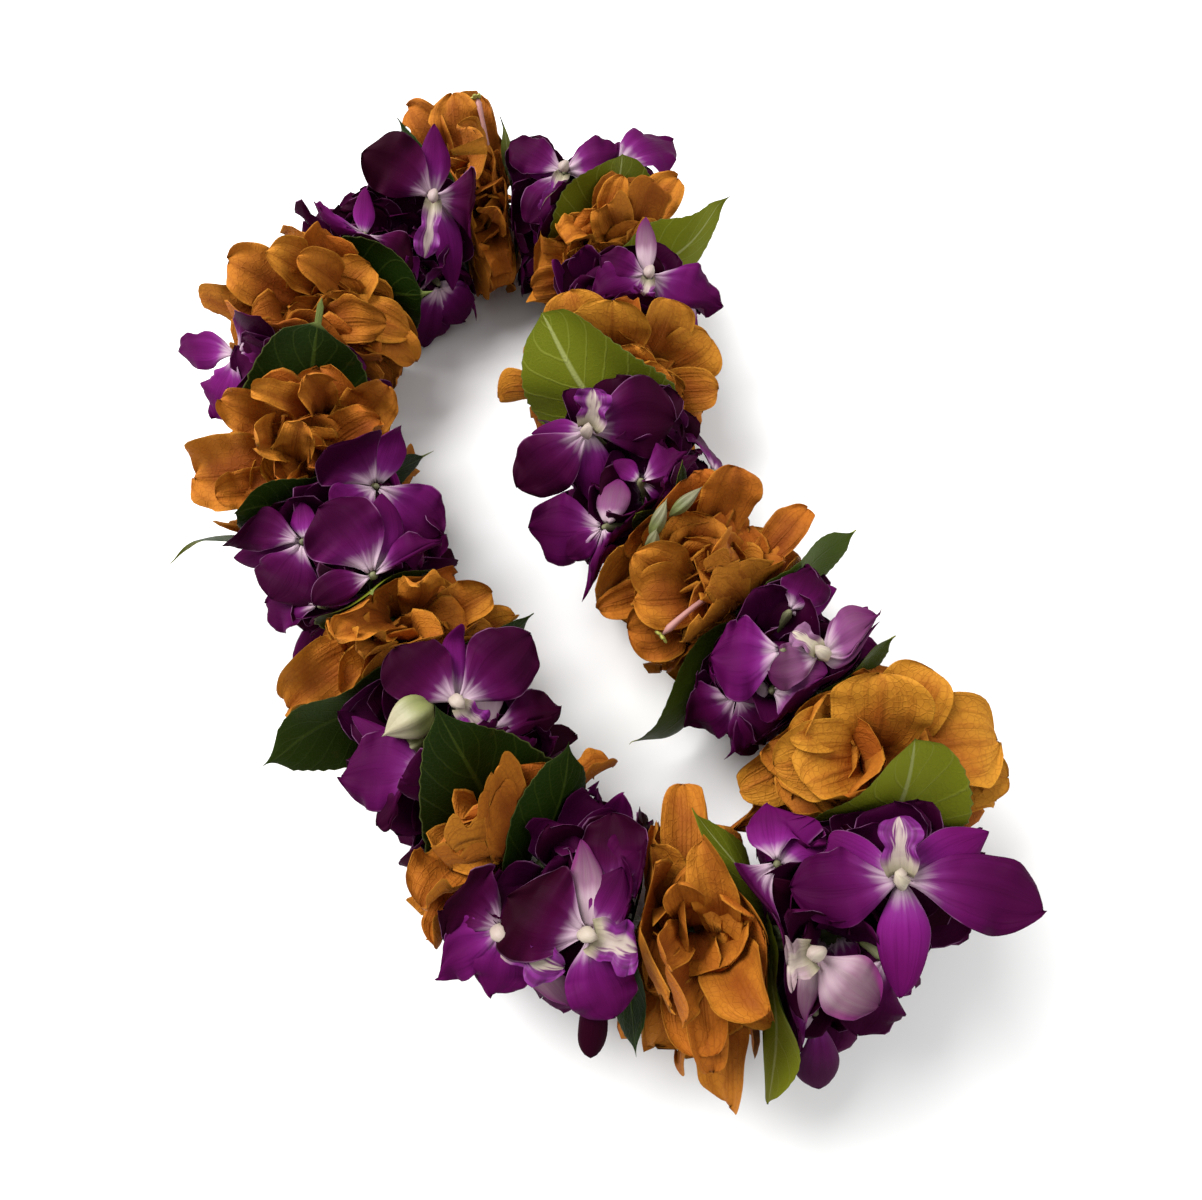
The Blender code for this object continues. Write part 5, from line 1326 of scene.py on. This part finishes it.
# %% Every leaf
ROUND_LEAVES = ("leaf_03", "leaf_05", "leaf_11", "leaf_13", "leaf_23")
STALK_OUT = ("leaf_19", "leaf_22", "leaf_23", "leaf_24")
PALE_SIDE_SHOWN = ("leaf_02", "leaf_03", "leaf_04", "leaf_05", "leaf_11", "leaf_13", "leaf_20")
# Tones given to some leaves: partly a younger, lighter green, partly painted light on leaves that lie dim
# or edge-on to the lamps
LEAF_TONE_AND_PAINTED_LIGHT = {"leaf_04": 0.5, "leaf_05": 0.2, "leaf_08": 1.0, "leaf_09": 0.9, "leaf_10": 0.8,
             "leaf_11": 0.8, "leaf_13": 0.7, "leaf_17": 0.25}
DARKEST_SPREAD = 0.15
STALK_SHARE, STALK_WIDTH = 0.10, 0.05
# How fast a pointed leaf and a round one close at the tip
POINT_CLOSING, ROUND_CLOSING = 9, 30
TIP_CURL, CURL_FROM, CURL_OVER = 3.0, 40.0, 15
MIDLINE_BOW = 2.0
TEETH, TOOTH_DEPTH = 46, 0.022


def leaf_outline(plan, form, u, v):
    """Half the width of a leaf at places along it, as a share of its widest, with fine teeth."""
    half = half_width(form, u) * np.clip(u * 9, 0.35, 1)
    if plan.name in STALK_OUT:
        body = np.clip((1 - STALK_SHARE - u) / (1 - STALK_SHARE), 0, 1)
        half = np.maximum(half_width(form, body) * np.clip(body * 14, 0, 1) ** 0.5, STALK_WIDTH)
    closing = ROUND_CLOSING if plan.name in ROUND_LEAVES else POINT_CLOSING
    half = half * np.clip((1 - u) * closing, 0.04, 1)
    return half * (1 + TOOTH_DEPTH * np.sin(TEETH * np.pi * u) * np.abs(v) ** 8)


def add_leaf(piece, plan, draw):
    """One leaf in its surface, folded a little along its midrib and curled at its tip."""
    form = FORMS["round leaf" if plan.name in ROUND_LEAVES else "leaf"]
    u, v = blade_grid(form)
    turn = math.radians(plan.around)
    reach = u * (plan.tip + plan.tail) - plan.tail
    across = leaf_outline(plan, form, u, v) * v * plan.width / 2
    across = across + draw.uniform(-MIDLINE_BOW, MIDLINE_BOW) * np.sin(np.pi * u)
    side = (reach * math.sin(turn) + across * math.cos(turn)).ravel()
    rise = (reach * math.cos(turn) - across * math.sin(turn)).ravel()
    base = boundary_along(plan.boundary, 0.0, 0.0)
    along = np.full(len(side), base)
    side, rise = off_inside(along, side, rise)
    side, rise = off_floor(side, rise)
    out, around, stretch = round_thread(along, side, rise)
    fold = (0.3 * np.abs(v) + 0.2 * np.sin(9 * u + phase(draw)) * v * v).ravel()
    fold = fold + draw.uniform(-1, 1) * TIP_CURL * np.clip((out - CURL_FROM) / CURL_OVER, 0, 1.5) ** 2
    along = boundary_along(plan.boundary, out, around) + (plan.slot * LEAF_SLOT + fold) / stretch
    grid = LOOP.place(along, side, rise).reshape(*u.shape, 3)
    ahead = LOOP.axes(base, 0)[0]
    looks_back = np.dot(SEEN_FROM - grid.reshape(-1, 3).mean(0), ahead) < 0
    top_side = -ahead if looks_back != (plan.name in PALE_SIDE_SHOWN) else ahead
    tone = LEAF_TONE_AND_PAINTED_LIGHT.get(plan.name, DARKEST_SPREAD * draw.random())
    points, faces, places, marks = closed_blade(grid, u, v, top_side, form.thick, tone, 0.0)
    if plan.name in STALK_OUT:
        marks[:, 2] = places[:, 0] > 1 - STALK_SHARE
    piece.add(points, faces, places, marks)


for plan in LEAVES:
    piece = Piece(plan.name + "_blade")
    add_leaf(piece, plan, random.Random("looks of " + plan.name))
    piece.make(LEAF_FINISH, "leaves", plan.name)
print("leaves dressed:", len(LEAVES))

# %% [markdown]
# ## The thread
# Two strands twisted together: a two-lobed ring that turns as it goes round the loop.

# %% Cotton thread
THREAD_RADIUS, THREAD_LOBE = 0.8, 0.18
TWIST_LENGTH = 5.0
THREAD_RINGS, THREAD_SIDES = 1400, 10

along = np.linspace(0, LOOP.length, THREAD_RINGS, endpoint=False)
turn = np.linspace(0, 2 * np.pi, THREAD_SIDES, endpoint=False)
twist = 2 * np.pi * np.round(LOOP.length / TWIST_LENGTH) * along / LOOP.length
radius = THREAD_RADIUS * (1 - THREAD_LOBE + THREAD_LOBE * np.cos(2 * (turn[None] - twist[:, None])))
cotton = Piece("thread_cotton")
add_swept(cotton, along, along / LOOP.length, radius, 0.5)
cotton.make(THREAD_FINISH, "thread", "thread")
print("thread: two strands,", TWIST_LENGTH, "mm a turn")

# %% [markdown]
# ## Floor, light and camera
# The photograph looks down on the lei from close by, over a white surface in soft light from all
# round. A wide lens near the lei gives the same view, with the near end larger. A white floor and
# large lamps keep the shadows short and pale.

# %% Floor
FLOOR_HALF, FLOOR_BELOW = 1.6, 0.0002


def floor_finish():
    look = Finish("pale_floor")
    speck = look.noise(14.0, 3.0)
    return look.done(Base_Color=look.mix(speck, (0.90, 0.90, 0.895), (0.94, 0.94, 0.935)), Roughness=0.85)


mesh = bpy.data.meshes.new("floor")
corners = ((-1, -1), (1, -1), (1, 1), (-1, 1))
mesh.from_pydata([(x * FLOOR_HALF, y * FLOOR_HALF, -FLOOR_BELOW) for x, y in corners], [], [(0, 1, 2, 3)])
mesh.materials.append(floor_finish())
floor = add_object("floor", mesh)
print("floor:", 2 * FLOOR_HALF, "m wide")

# %% Lamps and sky
LAMP_AIM = np.array([0.0, 0.0, 0.03])
SKY_STRENGTH = 0.62


def add_lamp(name, place, size, power):
    """A round soft lamp that shines on the lei."""
    data = bpy.data.lights.new(name, "AREA")
    data.shape, data.size, data.energy = "DISK", size, power
    item = add_object(name, data)
    item.location = place
    x, y, z = np.array(place) - LAMP_AIM
    item.rotation_euler = (math.atan2(math.hypot(x, y), z), 0, math.atan2(x, -y))


add_lamp("key", (-0.45, 0.55, 0.95), 0.9, 24.0)
add_lamp("fill", (0.9, -0.5, 0.9), 1.0, 6.0)
world = bpy.data.worlds.new("studio")
world.use_nodes = True
world.node_tree.nodes["Background"].inputs["Color"].default_value = (1.0, 1.0, 1.0, 1.0)
world.node_tree.nodes["Background"].inputs["Strength"].default_value = SKY_STRENGTH
bpy.context.scene.world = world
bpy.context.scene.view_settings.view_transform = "Standard"
print("sky strength", SKY_STRENGTH)

# %% Camera
LENS, SENSOR = 26.955, 36.0
CAMERA_PLACE = (-0.04615, -0.17359, 0.355)
CAMERA_TILT, CAMERA_TURN = 25, -22.5

camera_data = bpy.data.cameras.new("camera")
camera_data.lens, camera_data.sensor_width = LENS, SENSOR
camera_data.clip_start = 0.01
camera = add_object("camera", camera_data)
camera.location = CAMERA_PLACE
camera.rotation_euler = (math.radians(CAMERA_TILT), 0.0, math.radians(CAMERA_TURN))
bpy.context.scene.camera = camera
print("camera", CAMERA_PLACE, "lens", LENS, "mm")
